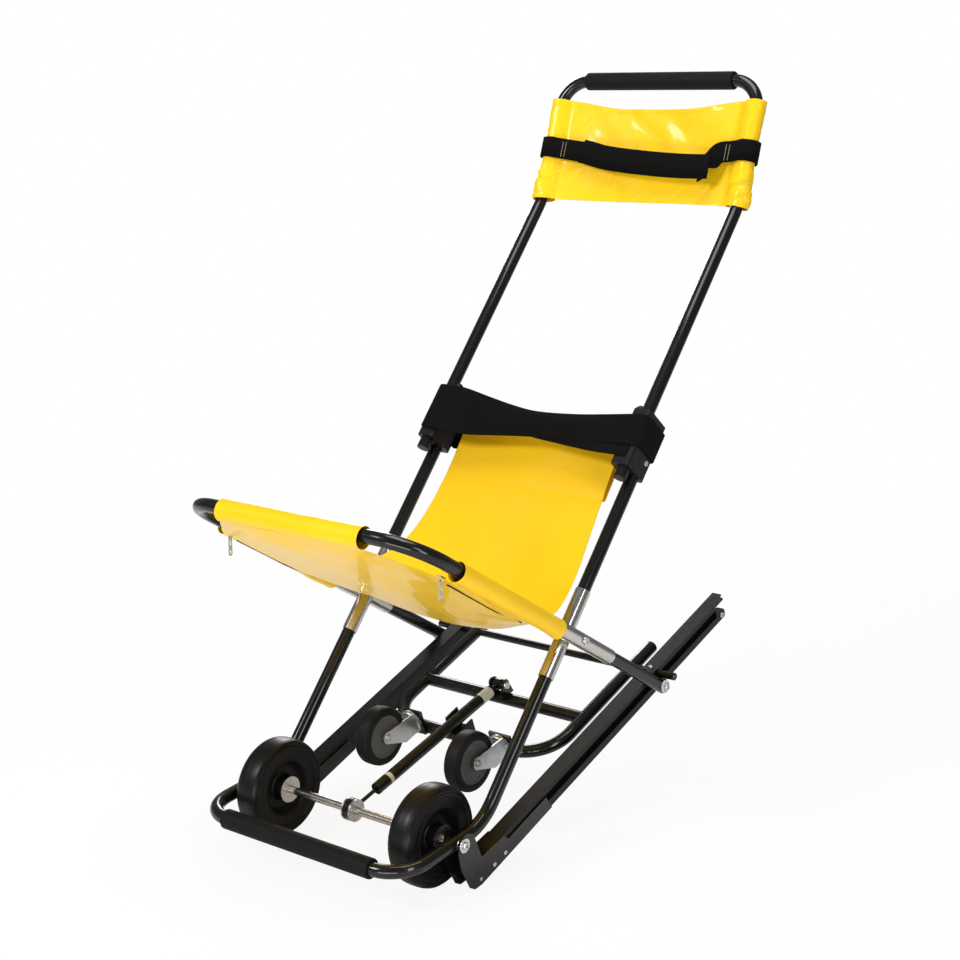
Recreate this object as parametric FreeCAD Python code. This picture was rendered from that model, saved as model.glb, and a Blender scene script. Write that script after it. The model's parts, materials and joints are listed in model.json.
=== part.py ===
import FreeCAD, Part
import math
import os

Vec = FreeCAD.Vector

# Stair chair. Millimetres, +Z up, +Y to the rear, X across, symmetric about X = 0.
# Everything is laid out from the wheels' axle, and moved once, at export, so that the
# origin is on the floor, midway between the chair's front and rear.

# ---- Tubes and clearances ----
TUBE_R = 11.0
TUBE_WALL = 1.5
FIT = 0.05                     # radial running clearance
TOUCH = 0.02                   # gap between pieces that are clamped or glued together
GRIP_R = 16.0
CAP_FLANGE = 2.0

# ---- Main frame: two legs joined by the foot bar ----
LEG_ANGLE = 50.6
LEG_X = 210.5
LEG_BACK = -44.5               # the legs run this far behind the axle
LEG_TOP = 764.0
LEG_BEND_R = 100.0
FOOT_ANGLE = 6.8
FOOT_REACH = 126.0
FOOT_CORNER_R = 56.0
SLEEVE_R = 12.7
LEG_SLEEVE = (299.0, 456.0)

# ---- Sliding handle frame ----
HANDLE_BACK = -13.0
HANDLE_END = 650.0
ELBOW_AT = 1200.0
ELBOW_R = 120.0
HEAD_ANGLE = 72.3
HEAD_LENGTH = 221.0
HANDLE_CORNER_R = 54.0

# ---- Guide blocks that join the two frames ----
BLOCK_X = (190.0, 225.0)
BLOCK_W = (-60.0, 2.0)
BLOCK_V = (668.0, 773.0)
BLOCK_SCREW_V = 697.0
BACK_BAR_R = 8.0
BACK_BAR_V = 738.0
KNOB_R = 9.0

# ---- Seat frame ----
SEAT_PIVOT_V = 374.0
SEAT_ANGLE = -30.0
SEAT_X = 240.0
SEAT_REAR = 284.0
SEAT_FRONT = -455.0
SEAT_CORNER_R = 75.0
REAR_PIN_S = 273.0
SEAT_SLEEVE = (-62.0, 97.0)
SHEET_N = (-24.0, -18.0)        # the seat's cloth hangs this far below the tubes' centres
PIVOT_BOLT_R = 4.0
ZIP_AT = (-350.0, -19.0, 218.0)     # along, off and across, in the seat's frame

# ---- Stair rails ----
RAIL_ANGLE = 21.0
RAIL_X = (199.0, 225.5)
RAIL_TOP = -50.0
RAIL_BOTTOM = -86.5
RAIL_START = 42.0
RAIL_BODY_END = 738.0
RAIL_END = 773.0
PLATE = 2.5
BELT_LINE = -78.0
BELT_BEND_R = 9.5
BELT_THICK = 2.5
BELT_X = (202.0, 213.5)
ROLLER_U = (14.0, 751.0)
ROLLER_PIN_R = 3.0
CROSS_BAR_R = 6.5
CROSS_BAR_END = 260.0
CROSS_BAR_U = 541.0
CROSS_BAR_N = -59.5
RAIL_SKIN = 2.0
RAIL_CAP = 5.0                 # the rail's top wall
EAR_R = 11.5
BRACKET_SCREWS = (49.0, 78.0)
SCREW_N = -78.0

# ---- Axle and big wheels ----
AXLE_R = 6.5
AXLE_END = 228.4
WHEEL_R = 80.0
WHEEL_X = 162.0
WHEEL_HALF_WIDTH = 22.0
RIM_R = 62.0
HUB_R = 21.5
HUB_HALF_WIDTH = 23.0

# ---- Caster frame, gas strut and casters ----
CASTER_FRAME_X = 172.0
CASTER_FRAME_TOP = 602.0
CASTER_BAR_U = 275.0
CASTER_CORNER_R = 72.0
BRACE_U = 389.0
STRUT_PIN_N = -29.0
STRUT_EYE_R = 18.0
STRUT_EYE_HALF = 6.0
STRUT_R = 10.0
STRUT_BORE_R = 9.4
STRUT_ROD_R = 3.2
CASTER_X = 96.0
SWIVEL_N = -39.0
CASTER_AXLE_U = 180.5
CASTER_AXLE_N = -12.5
CASTER_R = 50.0
CASTER_HALF = 14.5
CASTER_RIM_R = 36.5
SWIVEL_HEAD_R = 22.0
FORK_INNER = 17.0
FORK_OUTER = 19.5
STRUT_CYLINDER = (59.0, 366.0)
EAR_INNER = 11.0
EAR_THICK = 3.0
STEM_R = 5.0
MOUNT_U = CASTER_BAR_U - TUBE_R + 1.5
HEAD_TOP_U = MOUNT_U - 5.2


# ---------------------------------------------------------------- frames of reference

def direction(angle):
    """Unit vector in the YZ plane, at an angle from +Y towards +Z."""
    a = math.radians(angle)
    return Vec(0, math.cos(a), math.sin(a))


def normal(angle):
    """Unit vector in the YZ plane, a quarter turn on from direction(angle)."""
    a = math.radians(angle)
    return Vec(0, -math.sin(a), math.cos(a))


def place(origin, angle, along, off, x):
    return origin + direction(angle) * along + normal(angle) * off + Vec(x, 0, 0)


AXLE = Vec(0, 0, 0)


def leg_point(along, off=LEG_BACK, x=0.0):
    return place(AXLE, LEG_ANGLE, along, off, x)


def rail_point(along, off, x=0.0):
    return place(AXLE, RAIL_ANGLE, along, off, x)


SEAT_PIVOT = leg_point(SEAT_PIVOT_V)


def seat_point(along, off=0.0, x=0.0):
    return place(SEAT_PIVOT, SEAT_ANGLE, along, off, x)


ELBOW = leg_point(ELBOW_AT, HANDLE_BACK)


def head_point(along, off=0.0, x=0.0):
    return place(ELBOW, HEAD_ANGLE, along, off, x)


HANDLE_GRIP = head_point(HEAD_LENGTH)
FOOT_BAR = place(AXLE, FOOT_ANGLE, -FOOT_REACH, 0.0, 0.0)

# The chair's front and rear ends and its floor, measured from the axle.
FRONT_Y = FOOT_BAR.y - GRIP_R
REAR_Y = HANDLE_GRIP.y + GRIP_R
TO_ORIGIN = Vec(0, -(FRONT_Y + REAR_Y) / 2, WHEEL_R)


# ---------------------------------------------------------------- building blocks

def rounded_path(points, radii):
    """A wire through points, with an arc of the given radius at each inner point."""
    edges = []
    last = points[0]
    for i, radius in enumerate(radii, start=1):
        corner = points[i]
        into = (corner - points[i - 1]).normalize()
        out = (points[i + 1] - corner).normalize()
        half = into.getAngle(out) / 2
        trim = radius * math.tan(half)
        start = corner - into * trim
        end = corner + out * trim
        inward = (out - into).normalize()
        middle = corner + inward * (radius / math.cos(half) - radius)
        edges.append(Part.makeLine(last, start))
        edges.append(Part.Arc(start, middle, end).toShape())
        last = end
    edges.append(Part.makeLine(last, points[-1]))
    return Part.Wire(edges)


def sweep(points, radii, radius):
    path = rounded_path(points, radii)
    circle = Part.makeCircle(radius, points[0], points[1] - points[0])
    return path.makePipeShell([Part.Wire([circle])], True, False)


def tube(points, radii=(), outer=TUBE_R, wall=TUBE_WALL):
    """A hollow bent tube, open at its ends."""
    return sweep(points, radii, outer).cut(sweep(points, radii, outer - wall))


def rod(start, end, radius):
    run = end - start
    return Part.makeCylinder(radius, run.Length, start, run)


def ring(start, end, outer, inner):
    run = end - start
    overrun = run.normalize() * 1.0
    return rod(start, end, outer).cut(rod(start - overrun, end + overrun, inner))


def cross_rod(centre, x0, x1, radius):
    """A cylinder along X, from x0 to x1, on the axis through centre."""
    return rod(Vec(x0, centre.y, centre.z), Vec(x1, centre.y, centre.z), radius)


def cross_ring(centre, x0, x1, outer, inner):
    return ring(Vec(x0, centre.y, centre.z), Vec(x1, centre.y, centre.z), outer, inner)


def fused(shapes):
    return shapes[0].fuse(shapes[1:]).removeSplitter()


def side_plate(points, x0, x1, fillet=0.0):
    """A flat plate across X, from an outline of points in the YZ plane."""
    outline = [Vec(x0, p.y, p.z) for p in points]
    solid = Part.Face(Part.makePolygon(outline + outline[:1])).extrude(Vec(x1 - x0, 0, 0))
    if fillet:
        corners = [e for e in solid.Edges if abs(e.Length - abs(x1 - x0)) < 1e-6]
        solid = solid.makeFillet(fillet, corners)
    return solid


def bar_of_profile(points, start, end, at):
    """A straight bar whose profile is points of (x, off), from start to end along at."""
    outline = [at(start, off, x) for x, off in points]
    face = Part.Face(Part.makePolygon(outline + outline[:1]))
    return face.extrude(at(end, 0.0) - at(start, 0.0))


def block(at, along, off, x, fillet=0.0):
    """A box in a frame of reference, with its edges along the run rounded."""
    corners = [(x[0], off[0]), (x[1], off[0]), (x[1], off[1]), (x[0], off[1])]
    solid = bar_of_profile(corners, along[0], along[1], at)
    if fillet:
        length = along[1] - along[0]
        run = [e for e in solid.Edges if abs(e.Length - length) < 1e-6]
        solid = solid.makeFillet(fillet, run)
    return solid


def turned(profile, x_mid, centre=AXLE):
    """A solid turned about X from a profile of (radius, x) points."""
    outline = [Vec(x_mid + x, centre.y, centre.z + r) for r, x in profile]
    face = Part.Face(Part.makePolygon(outline + outline[:1]))
    return face.revolve(Vec(0, centre.y, centre.z), Vec(1, 0, 0), 360)


def mirrored(shape):
    return shape.mirror(Vec(0, 0, 0), Vec(1, 0, 0))


def both_sides(shape):
    return Part.Compound([shape, mirrored(shape)])


def screw_head(centre, x0, x1, radius, recess=1.2):
    """A domed head on an axis along X, with a hexagon socket in its outer face."""
    outward = 1.0 if x1 > x0 else -1.0
    head = cross_rod(centre, x0, x1, radius)
    rim = [e for e in head.Edges if abs(e.CenterOfMass.x - x1) < 1e-6]
    head = head.makeFillet(min(radius, abs(x1 - x0)) * 0.45, rim)
    socket_r = radius * 0.5
    turns = [math.radians(60 * i) for i in range(6)]
    hexagon = [Vec(x1 + outward, centre.y + socket_r * math.cos(t),
                   centre.z + socket_r * math.sin(t)) for t in turns]
    socket = Part.Face(Part.makePolygon(hexagon + hexagon[:1]))
    return head.cut(socket.extrude(Vec(-outward * (1.0 + recess), 0, 0)))


# ---------------------------------------------------------------- main frame

def main_frame_tube():
    legs_meet = leg_foot_corner()
    corner = place(AXLE, FOOT_ANGLE, -FOOT_REACH, 0.0, LEG_X)
    half = [leg_point(LEG_TOP, x=LEG_X), legs_meet + Vec(LEG_X, 0, 0), corner]
    points = half + [Vec(-p.x, p.y, p.z) for p in reversed(half)]
    radii = [LEG_BEND_R, FOOT_CORNER_R, FOOT_CORNER_R, LEG_BEND_R]
    frame = tube(points, radii)
    holes = [cross_rod(AXLE, -300, 300, AXLE_R + TOUCH),
             cross_rod(SEAT_PIVOT, -300, 300, PIVOT_BOLT_R + TOUCH)]
    return frame.cut(fused(holes))


def leg_foot_corner():
    """Where the leg's line and the foot bar's line cross, in the plane X = 0."""
    foot = direction(FOOT_ANGLE)
    across = normal(LEG_ANGLE)
    return foot * (LEG_BACK / foot.dot(across))


def leg_sleeves():
    sleeve = ring(leg_point(LEG_SLEEVE[0], x=LEG_X), leg_point(LEG_SLEEVE[1], x=LEG_X),
                  SLEEVE_R, TUBE_R + TOUCH)
    return both_sides(sleeve.cut(cross_rod(SEAT_PIVOT, 0, 300, PIVOT_BOLT_R + TOUCH)))


def grip(centre, half_length):
    foam = cross_ring(centre, -half_length, half_length, GRIP_R, TUBE_R + TOUCH)
    rims = [e for e in foam.Edges if abs(e.Length - 2 * math.pi * GRIP_R) < 1e-3]
    return foam.makeFillet(2.5, rims)


def guide_block():
    body = block(leg_point, BLOCK_V, BLOCK_W, BLOCK_X, fillet=6.0)
    knob_at = (BLOCK_X[0] + KNOB_R - 4.0, HANDLE_BACK)
    knob_base = leg_point(BLOCK_V[1] - 4.0, knob_at[1], knob_at[0])
    knob_top = leg_point(BLOCK_V[1] + 3.0, knob_at[1], knob_at[0])
    knob = [rod(knob_base, knob_top, KNOB_R), Part.makeSphere(KNOB_R, knob_top)]
    body = fused([body] + knob)
    up = direction(LEG_ANGLE)
    leg_hole = rod(leg_point(BLOCK_V[0] - 5, x=LEG_X),
                   leg_point(LEG_TOP + TOUCH, x=LEG_X), TUBE_R + TOUCH)
    handle_hole = rod(leg_point(BLOCK_V[0] - 5, HANDLE_BACK, LEG_X),
                      leg_point(BLOCK_V[1] + 20, HANDLE_BACK, LEG_X), TUBE_R + FIT)
    bar_socket = cross_rod(leg_point(BACK_BAR_V), 0, BLOCK_X[0] + 5, BACK_BAR_R + TOUCH)
    screw_at = leg_point(BLOCK_SCREW_V)
    screw_hole = cross_rod(screw_at, LEG_X + TUBE_R - 1, 300, 3.0 + TOUCH)
    return body.cut(fused([leg_hole, handle_hole])).cut(bar_socket).cut(screw_hole)


def block_screws():
    centre = leg_point(BLOCK_SCREW_V)
    shank = cross_rod(centre, LEG_X + TUBE_R + 0.5, BLOCK_X[1] + 0.5, 3.0)
    head = screw_head(centre, BLOCK_X[1] + TOUCH, BLOCK_X[1] + 1.8, 5.0, recess=0.8)
    return both_sides(fused([shank, head]))


def back_bar():
    end = BLOCK_X[0] + 4.9
    return cross_ring(leg_point(BACK_BAR_V), -end, end, BACK_BAR_R, BACK_BAR_R - TUBE_WALL)


def seat_pivot_bolt():
    """Each bolt runs out through a leg and the seat tube beside it."""
    inner_face = LEG_X - SLEEVE_R
    outer_face = SEAT_X + SLEEVE_R + FIT
    shank = cross_rod(SEAT_PIVOT, inner_face - 1, outer_face + 0.5, PIVOT_BOLT_R)
    nut = screw_head(SEAT_PIVOT, inner_face - TOUCH, inner_face - 5, 6.5)
    head = screw_head(SEAT_PIVOT, outer_face + 0.2, outer_face + 4.2, 6.5)
    return fused([shank, nut, head])


def seat_pivot_spacers():
    gap = (LEG_X + SLEEVE_R + TOUCH, SEAT_X - SLEEVE_R - FIT)
    return both_sides(cross_ring(SEAT_PIVOT, gap[0], gap[1], 7.0, PIVOT_BOLT_R + TOUCH))


# ---------------------------------------------------------------- axle and wheels

def axle():
    shaft = cross_rod(AXLE, -AXLE_END, AXLE_END, AXLE_R)
    for side in (-1, 1):
        shaft = shaft.cut(cross_rod(AXLE, side * (AXLE_END - 20), side * 300, 3.0 + TOUCH))
    return shaft


def axle_bolts():
    outer = AXLE_END + 1.6
    shank = cross_rod(AXLE, AXLE_END - 18, outer + 0.5, 3.0)
    head = screw_head(AXLE, outer, outer + 4.0, 6.5, recess=2.2)
    return both_sides(fused([shank, head]))


def axle_end_washers():
    washer = cross_ring(AXLE, AXLE_END + 0.1, AXLE_END + 1.55, 11.5, 3.0 + TOUCH)
    rims = [e for e in washer.Edges
            if abs(e.Length - 2 * math.pi * 11.5) < 1e-3 and e.CenterOfMass.x > AXLE_END + 1]
    return both_sides(washer.makeFillet(0.8, rims))


def axle_washers():
    """Washers and spacers clamped on the axle: at each hub, at the strut and at each leg."""
    wheel_inner = WHEEL_X - HUB_HALF_WIDTH - FIT
    wheel_outer = WHEEL_X + HUB_HALF_WIDTH + FIT
    eye_face = STRUT_EYE_HALF + 0.1
    leg_face = LEG_X + TUBE_R + 0.1
    spans = [(wheel_inner - 2.5, wheel_inner, HUB_R), (wheel_outer, wheel_outer + 2.5, HUB_R),
             (eye_face, eye_face + 3.0, STRUT_EYE_R), (leg_face, RAIL_X[1] - 0.1, 10.0)]
    washers = [cross_ring(AXLE, x0, x1, outer, AXLE_R + TOUCH) for x0, x1, outer in spans]
    return Part.Compound([s for w in washers for s in (w, mirrored(w))])


def wheel_hub():
    """A moulded disc, dished in steps towards a hub that stands proud of the dish."""
    web = 5.0
    half = WHEEL_HALF_WIDTH
    face = [(AXLE_R + FIT, HUB_HALF_WIDTH), (17.5, HUB_HALF_WIDTH), (19.5, HUB_HALF_WIDTH - 2.0),
            (21.0, web + 2.0), (23.0, web), (33.0, web), (36.0, web + 1.5), (40.0, web + 6.0),
            (43.0, half - 6.0), (45.5, half - 3.6), (47.0, half - 3.2), (49.0, half - 3.8),
            (58.0, half - 3.0), (RIM_R - TOUCH, half - 2.6)]
    return turned(face + [(r, -x) for r, x in reversed(face)], WHEEL_X)


def wheel_tyre():
    """A solid tyre with a rounded tread and two fine grooves in each side wall."""
    half = WHEEL_HALF_WIDTH
    groove = 0.9
    side = [(RIM_R, half - 2.0), (63.5, half - 0.9), (66.0, half - 0.4), (69.0, half - 0.2),
            (69.6, half - groove), (70.6, half - groove), (71.2, half - 0.2),
            (73.6, half - 0.6), (74.2, half - groove - 0.8), (75.0, half - groove - 0.8),
            (75.6, half - 1.6), (78.2, half - 5.0), (79.5, half - 10.0), (WHEEL_R, half - 16.0)]
    return turned(side + [(r, -x) for r, x in reversed(side)], WHEEL_X)


# ---------------------------------------------------------------- handle frame

def handle_tube():
    half = [leg_point(HANDLE_END, HANDLE_BACK, LEG_X), ELBOW + Vec(LEG_X, 0, 0),
            head_point(HEAD_LENGTH, x=LEG_X)]
    points = half + [Vec(-p.x, p.y, p.z) for p in reversed(half)]
    return tube(points, [ELBOW_R, HANDLE_CORNER_R, HANDLE_CORNER_R, ELBOW_R])


def handle_end_caps():
    end = leg_point(HANDLE_END, HANDLE_BACK, LEG_X)
    up = direction(LEG_ANGLE)
    flange = rod(end - up * CAP_FLANGE, end - up * TOUCH, TUBE_R)
    plug = rod(end - up * 0.5, end + up * 12, TUBE_R - TUBE_WALL - TOUCH)
    return both_sides(fused([flange, plug]))


def headrest_panel():
    """The padded vinyl panel between the handle's side tubes."""
    half = LEG_X - TUBE_R - 6.0
    return block(head_point, (4.0, 184.0), (-2.0, 2.0), (-half, half))


def head_strap():
    """A flat webbing strap hanging in front of the headrest."""
    half = LEG_X - TUBE_R - 4.0
    return block(head_point, (72.0, 108.0), (6.0, 9.0), (-half, half))


def back_belt():
    """A wide elastic belt across the back, folded round both guide blocks."""
    gap = 1.0
    thick = 2.0
    x_out = BLOCK_X[1] + gap
    w_out = BLOCK_W[1] + gap
    w_back = BLOCK_W[0] - gap
    hook = 175.0
    half = [(0, w_out), (x_out, w_out), (x_out, w_back), (hook, w_back),
            (hook, w_back - thick), (x_out + thick, w_back - thick),
            (x_out + thick, w_out + thick), (0, w_out + thick)]
    inner = [(x, w) for x, w in half[1:4]]
    outer = [(x, w) for x, w in half[4:7]]
    loop = inner + outer
    whole = loop + [(-x, w) for x, w in reversed(loop)]
    return bar_of_profile(whole, BLOCK_SCREW_V + 9, BLOCK_V[1] - 5, leg_point)


def back_sheet():
    """The part of the sling behind the sitter's back, hung from the back bar."""
    half = 158.0
    return block(leg_point, (420.0, 722.0), (-58.0, -52.0), (-half, half))


# ---------------------------------------------------------------- seat frame

def seat_tube():
    half = [seat_point(SEAT_REAR, x=SEAT_X), seat_point(SEAT_FRONT, x=SEAT_X)]
    points = half + [Vec(-p.x, p.y, p.z) for p in reversed(half)]
    frame = tube(points, [SEAT_CORNER_R, SEAT_CORNER_R])
    holes = [cross_rod(SEAT_PIVOT, -300, 300, PIVOT_BOLT_R + FIT),
             cross_rod(seat_point(REAR_PIN_S), -300, 300, PIVOT_BOLT_R + TOUCH)]
    return frame.cut(fused(holes))


def seat_sleeves():
    sleeve = ring(seat_point(SEAT_SLEEVE[0], x=SEAT_X), seat_point(SEAT_SLEEVE[1], x=SEAT_X),
                  SLEEVE_R, TUBE_R + TOUCH)
    return both_sides(sleeve.cut(cross_rod(SEAT_PIVOT, 0, 300, PIVOT_BOLT_R + FIT)))


def seat_end_caps():
    """Plugs in the open rear ends of the seat tube, clear of the rear pins."""
    end = seat_point(SEAT_REAR, x=SEAT_X)
    back = direction(SEAT_ANGLE)
    plug = rod(end - back * 5.0, end + back * TOUCH, TUBE_R - TUBE_WALL - TOUCH)
    flange = rod(end + back * TOUCH, end + back * CAP_FLANGE, TUBE_R)
    return both_sides(fused([plug, flange]))


def rear_pins():
    """Pins at the rear of the seat tube, whose inner ends face the rails' grooves."""
    centre = seat_point(REAR_PIN_S)
    inner = SEAT_X - TUBE_R - 0.6
    outer = SEAT_X + TUBE_R + 2.2
    pin = cross_rod(centre, inner, outer + 0.5, PIVOT_BOLT_R)
    cap = screw_head(centre, outer, outer + 5.0, 6.5)
    return both_sides(fused([pin, cap]))


def rear_pin_washers():
    outer = SEAT_X + TUBE_R
    return both_sides(cross_ring(seat_point(REAR_PIN_S), outer + 0.05, outer + 2.15,
                                 TUBE_R, PIVOT_BOLT_R + TOUCH))


def seat_sheet():
    """The part of the sling under the sitter, stretched inside the seat tube."""
    half = LEG_X - TUBE_R - 4.0
    front = SEAT_FRONT + TUBE_R + 4.0
    chamfer = 40.0
    outline = [(half, SEAT_SLEEVE[0] + 12), (half, front + chamfer), (half - chamfer, front)]
    points = outline + [(-x, s) for x, s in reversed(outline)]
    low, high = SHEET_N
    corners = [seat_point(s, low, x) for x, s in points]
    face = Part.Face(Part.makePolygon(corners + corners[:1]))
    return face.extrude(normal(SEAT_ANGLE) * (high - low))


def zip_pull():
    """A small stamped tab that hangs from the zip's slider on a pin along X."""
    hinge = seat_point(*ZIP_AT)
    x = hinge.x
    tab = [hinge + Vec(0, -3.2, 0.5), hinge + Vec(0, 3.2, 0.5),
           hinge + Vec(0, 3.6, -33.0), hinge + Vec(0, -3.6, -33.0)]
    plate = side_plate(tab, x - 0.8, x + 0.8, fillet=2.8)
    eye = side_plate([hinge + Vec(0, -1.7, -24), hinge + Vec(0, 1.7, -24),
                      hinge + Vec(0, 1.7, -30.5), hinge + Vec(0, -1.7, -30.5)],
                     x - 2, x + 2)
    slot = side_plate([hinge + Vec(0, -1.5, -9), hinge + Vec(0, 1.5, -9),
                       hinge + Vec(0, 1.5, -17), hinge + Vec(0, -1.5, -17)], x - 2, x + 2)
    return plate.cut(eye).cut(slot).cut(cross_rod(hinge - Vec(0, 0, 2.2), x - 5, x + 5, 1.0))


def zip_sliders():
    hinge = seat_point(*ZIP_AT)
    up = normal(SEAT_ANGLE)
    pin = cross_rod(hinge - Vec(0, 0, 2.2), hinge.x - 3.0, hinge.x + 3.0, 0.95)
    body = block(seat_point, (ZIP_AT[0] - 6, ZIP_AT[0] + 6), (ZIP_AT[1] + 2.2, ZIP_AT[1] + 5.5),
                 (ZIP_AT[2] - 4.0, ZIP_AT[2] + 4.0), fillet=1.2)
    cheeks = []
    for side in (-1, 1):
        x0 = hinge.x + side * 1.6
        foot = hinge - Vec(0, 0, 2.2)
        cheek = [foot + Vec(0, -1.6, -1.6), foot + Vec(0, 1.6, -1.6),
                 foot + up * 6.5 + Vec(0, 1.6, 0), foot + up * 6.5 + Vec(0, -1.6, 0)]
        cheeks.append(side_plate(cheek, x0, x0 + side * 1.2))
    return both_sides(fused([body, pin] + cheeks))


# ---------------------------------------------------------------- stair rails

def rail():
    """An extrusion with a side groove for the seat's pin and an open belt channel."""
    x0, x1 = RAIL_X
    web = (BELT_X[1] + 1.0, BELT_X[1] + 3.0)
    skin = RAIL_SKIN
    groove = (RAIL_TOP - 9.0, RAIL_TOP - 24.0)
    outline = [(x0, RAIL_TOP), (x1, RAIL_TOP), (x1, groove[0]), (web[1], groove[0]),
               (web[1], groove[1]), (x1, groove[1]), (x1, RAIL_BOTTOM), (web[0], RAIL_BOTTOM),
               (web[0], RAIL_TOP - RAIL_CAP), (x0 + skin, RAIL_TOP - RAIL_CAP),
               (x0 + skin, RAIL_BOTTOM), (x0, RAIL_BOTTOM)]
    body = bar_of_profile(outline, RAIL_START, RAIL_BODY_END, rail_point)
    cap = block(rail_point, (RAIL_BODY_END - 1, RAIL_END), (RAIL_TOP - 4.0, RAIL_TOP), RAIL_X)
    outer_ear = rail_ear(web[0], x1)
    inner_ear = rail_ear(x0, x0 + skin)
    solid = fused([body, cap, outer_ear, inner_ear])
    notch = block(rail_point, (RAIL_END - 9, RAIL_END + 5), (RAIL_TOP - 10, RAIL_TOP + 5),
                  (x1 - 9, x1 + 5))
    bar_at = rail_point(CROSS_BAR_U, CROSS_BAR_N)
    screw_at = rail_point(CROSS_BAR_U, RAIL_TOP, sum(RAIL_X) / 2)
    down = normal(RAIL_ANGLE) * (RAIL_CAP + 1.0)
    screw_hole = rod(screw_at - down, screw_at + down, 2.0 + TOUCH)
    solid = solid.cut(cross_rod(bar_at, 0, 300, CROSS_BAR_R + TOUCH))
    solid = solid.cut(cross_rod(upper_roller_axis(), 0, 300, ROLLER_PIN_R + TOUCH))
    for u in BRACKET_SCREWS:
        solid = solid.cut(cross_rod(rail_point(u, SCREW_N), 0, 300, 2.0 + TOUCH))
    return solid.cut(notch).cut(screw_hole)


def upper_roller_axis():
    return rail_point(ROLLER_U[1], BELT_LINE)


def lower_roller_axis():
    return rail_point(ROLLER_U[0], BELT_LINE)


def rail_ear(x0, x1):
    """The rounded cheek at the rail's upper end that holds the roller's pin."""
    centre = upper_roller_axis()
    tongue = [rail_point(RAIL_BODY_END - 2, BELT_LINE - 8.5),
              rail_point(ROLLER_U[1], BELT_LINE - 8.5),
              rail_point(ROLLER_U[1], BELT_LINE + EAR_R),
              rail_point(RAIL_BODY_END - 2, BELT_LINE + 24)]
    lower = rail_point(ROLLER_U[1] - 30, RAIL_BOTTOM - 20)
    below = side_plate([lower, rail_point(ROLLER_U[1] + 30, RAIL_BOTTOM - 20),
                        rail_point(ROLLER_U[1] + 30, RAIL_BOTTOM),
                        rail_point(ROLLER_U[1] - 30, RAIL_BOTTOM)], x0 - 1, x1 + 1)
    return fused([cross_rod(centre, x0, x1, EAR_R), side_plate(tongue, x0, x1)]).cut(below)


def bracket_plate(x0, x1):
    """A V-shaped plate from the axle down to the rail, and a strip along the rail."""
    outline = [(-12.0, 6.0), (-4.0, 14.0), (12.0, 13.0), (24.0, 4.0), (26.0, -16.0),
               (28.0, -46.0), (84.0, RAIL_TOP + 0.5), (92.0, -61.0), (196.0, -61.0),
               (204.0, RAIL_BOTTOM), (13.0, -87.5), (-4.0, -84.0), (-12.0, -75.0),
               (-19.0, -34.0), (-17.0, -14.0)]
    points = [rail_point(u, n) for u, n in outline]
    plate = side_plate(points, x0, x1)
    plate = plate.cut(cross_rod(AXLE, 0, 300, AXLE_R + FIT))
    plate = plate.cut(cross_rod(lower_roller_axis(), 0, 300, ROLLER_PIN_R + TOUCH))
    for u in BRACKET_SCREWS:
        plate = plate.cut(cross_rod(rail_point(u, SCREW_N), 0, 300, 2.0 + TOUCH))
    return plate


def bracket_plates():
    outer = bracket_plate(RAIL_X[1] + TOUCH, RAIL_X[1] + PLATE)
    inner = bracket_plate(RAIL_X[0] - PLATE, RAIL_X[0] - TOUCH)
    return Part.Compound([outer, inner, mirrored(outer), mirrored(inner)])


def bracket_screws():
    screws = []
    for u in BRACKET_SCREWS:
        centre = rail_point(u, SCREW_N)
        outer = RAIL_X[1] + PLATE
        shank = cross_rod(centre, BELT_X[1] + 1.2, outer + 0.2, 2.0)
        screws.append(fused([shank, screw_head(centre, outer + TOUCH, outer + 0.8, 3.6, 0.5)]))
    return Part.Compound([s for screw in screws for s in (screw, mirrored(screw))])


def stair_belt():
    """A flat belt round the rail's two rollers; its lower run touches the stairs."""
    def loop(radius):
        low, high = ROLLER_U
        start = rail_point(low, BELT_LINE + radius, BELT_X[0])
        end = rail_point(high, BELT_LINE + radius, BELT_X[0])
        nose = rail_point(high + radius, BELT_LINE, BELT_X[0])
        back = rail_point(high, BELT_LINE - radius, BELT_X[0])
        front = rail_point(low, BELT_LINE - radius, BELT_X[0])
        tail = rail_point(low - radius, BELT_LINE, BELT_X[0])
        edges = [Part.makeLine(start, end), Part.Arc(end, nose, back).toShape(),
                 Part.makeLine(back, front), Part.Arc(front, tail, start).toShape()]
        return Part.Face(Part.Wire(edges)).extrude(Vec(BELT_X[1] - BELT_X[0], 0, 0))
    return loop(BELT_BEND_R).cut(loop(BELT_BEND_R - BELT_THICK))


def belt_roller(centre):
    drum_r = BELT_BEND_R - BELT_THICK - FIT
    drum = cross_ring(centre, BELT_X[0] + 0.3, BELT_X[1] - 0.3, drum_r, ROLLER_PIN_R + FIT)
    rims = [e for e in drum.Edges if abs(e.Length - 2 * math.pi * drum_r) < 1e-3]
    return drum.makeChamfer(0.5, rims)


def roller_pins():
    upper = upper_roller_axis()
    lower = lower_roller_axis()
    long_pin = cross_rod(upper, RAIL_X[0], RAIL_X[1] + 0.3, ROLLER_PIN_R)
    head = screw_head(upper, RAIL_X[1] + TOUCH, RAIL_X[1] + 1.8, 5.0, recess=0.8)
    pins = [fused([long_pin, head]),
            cross_rod(lower, RAIL_X[0] - PLATE, RAIL_X[1] + PLATE, ROLLER_PIN_R)]
    return Part.Compound([s for pin in pins for s in (pin, mirrored(pin))])


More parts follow.
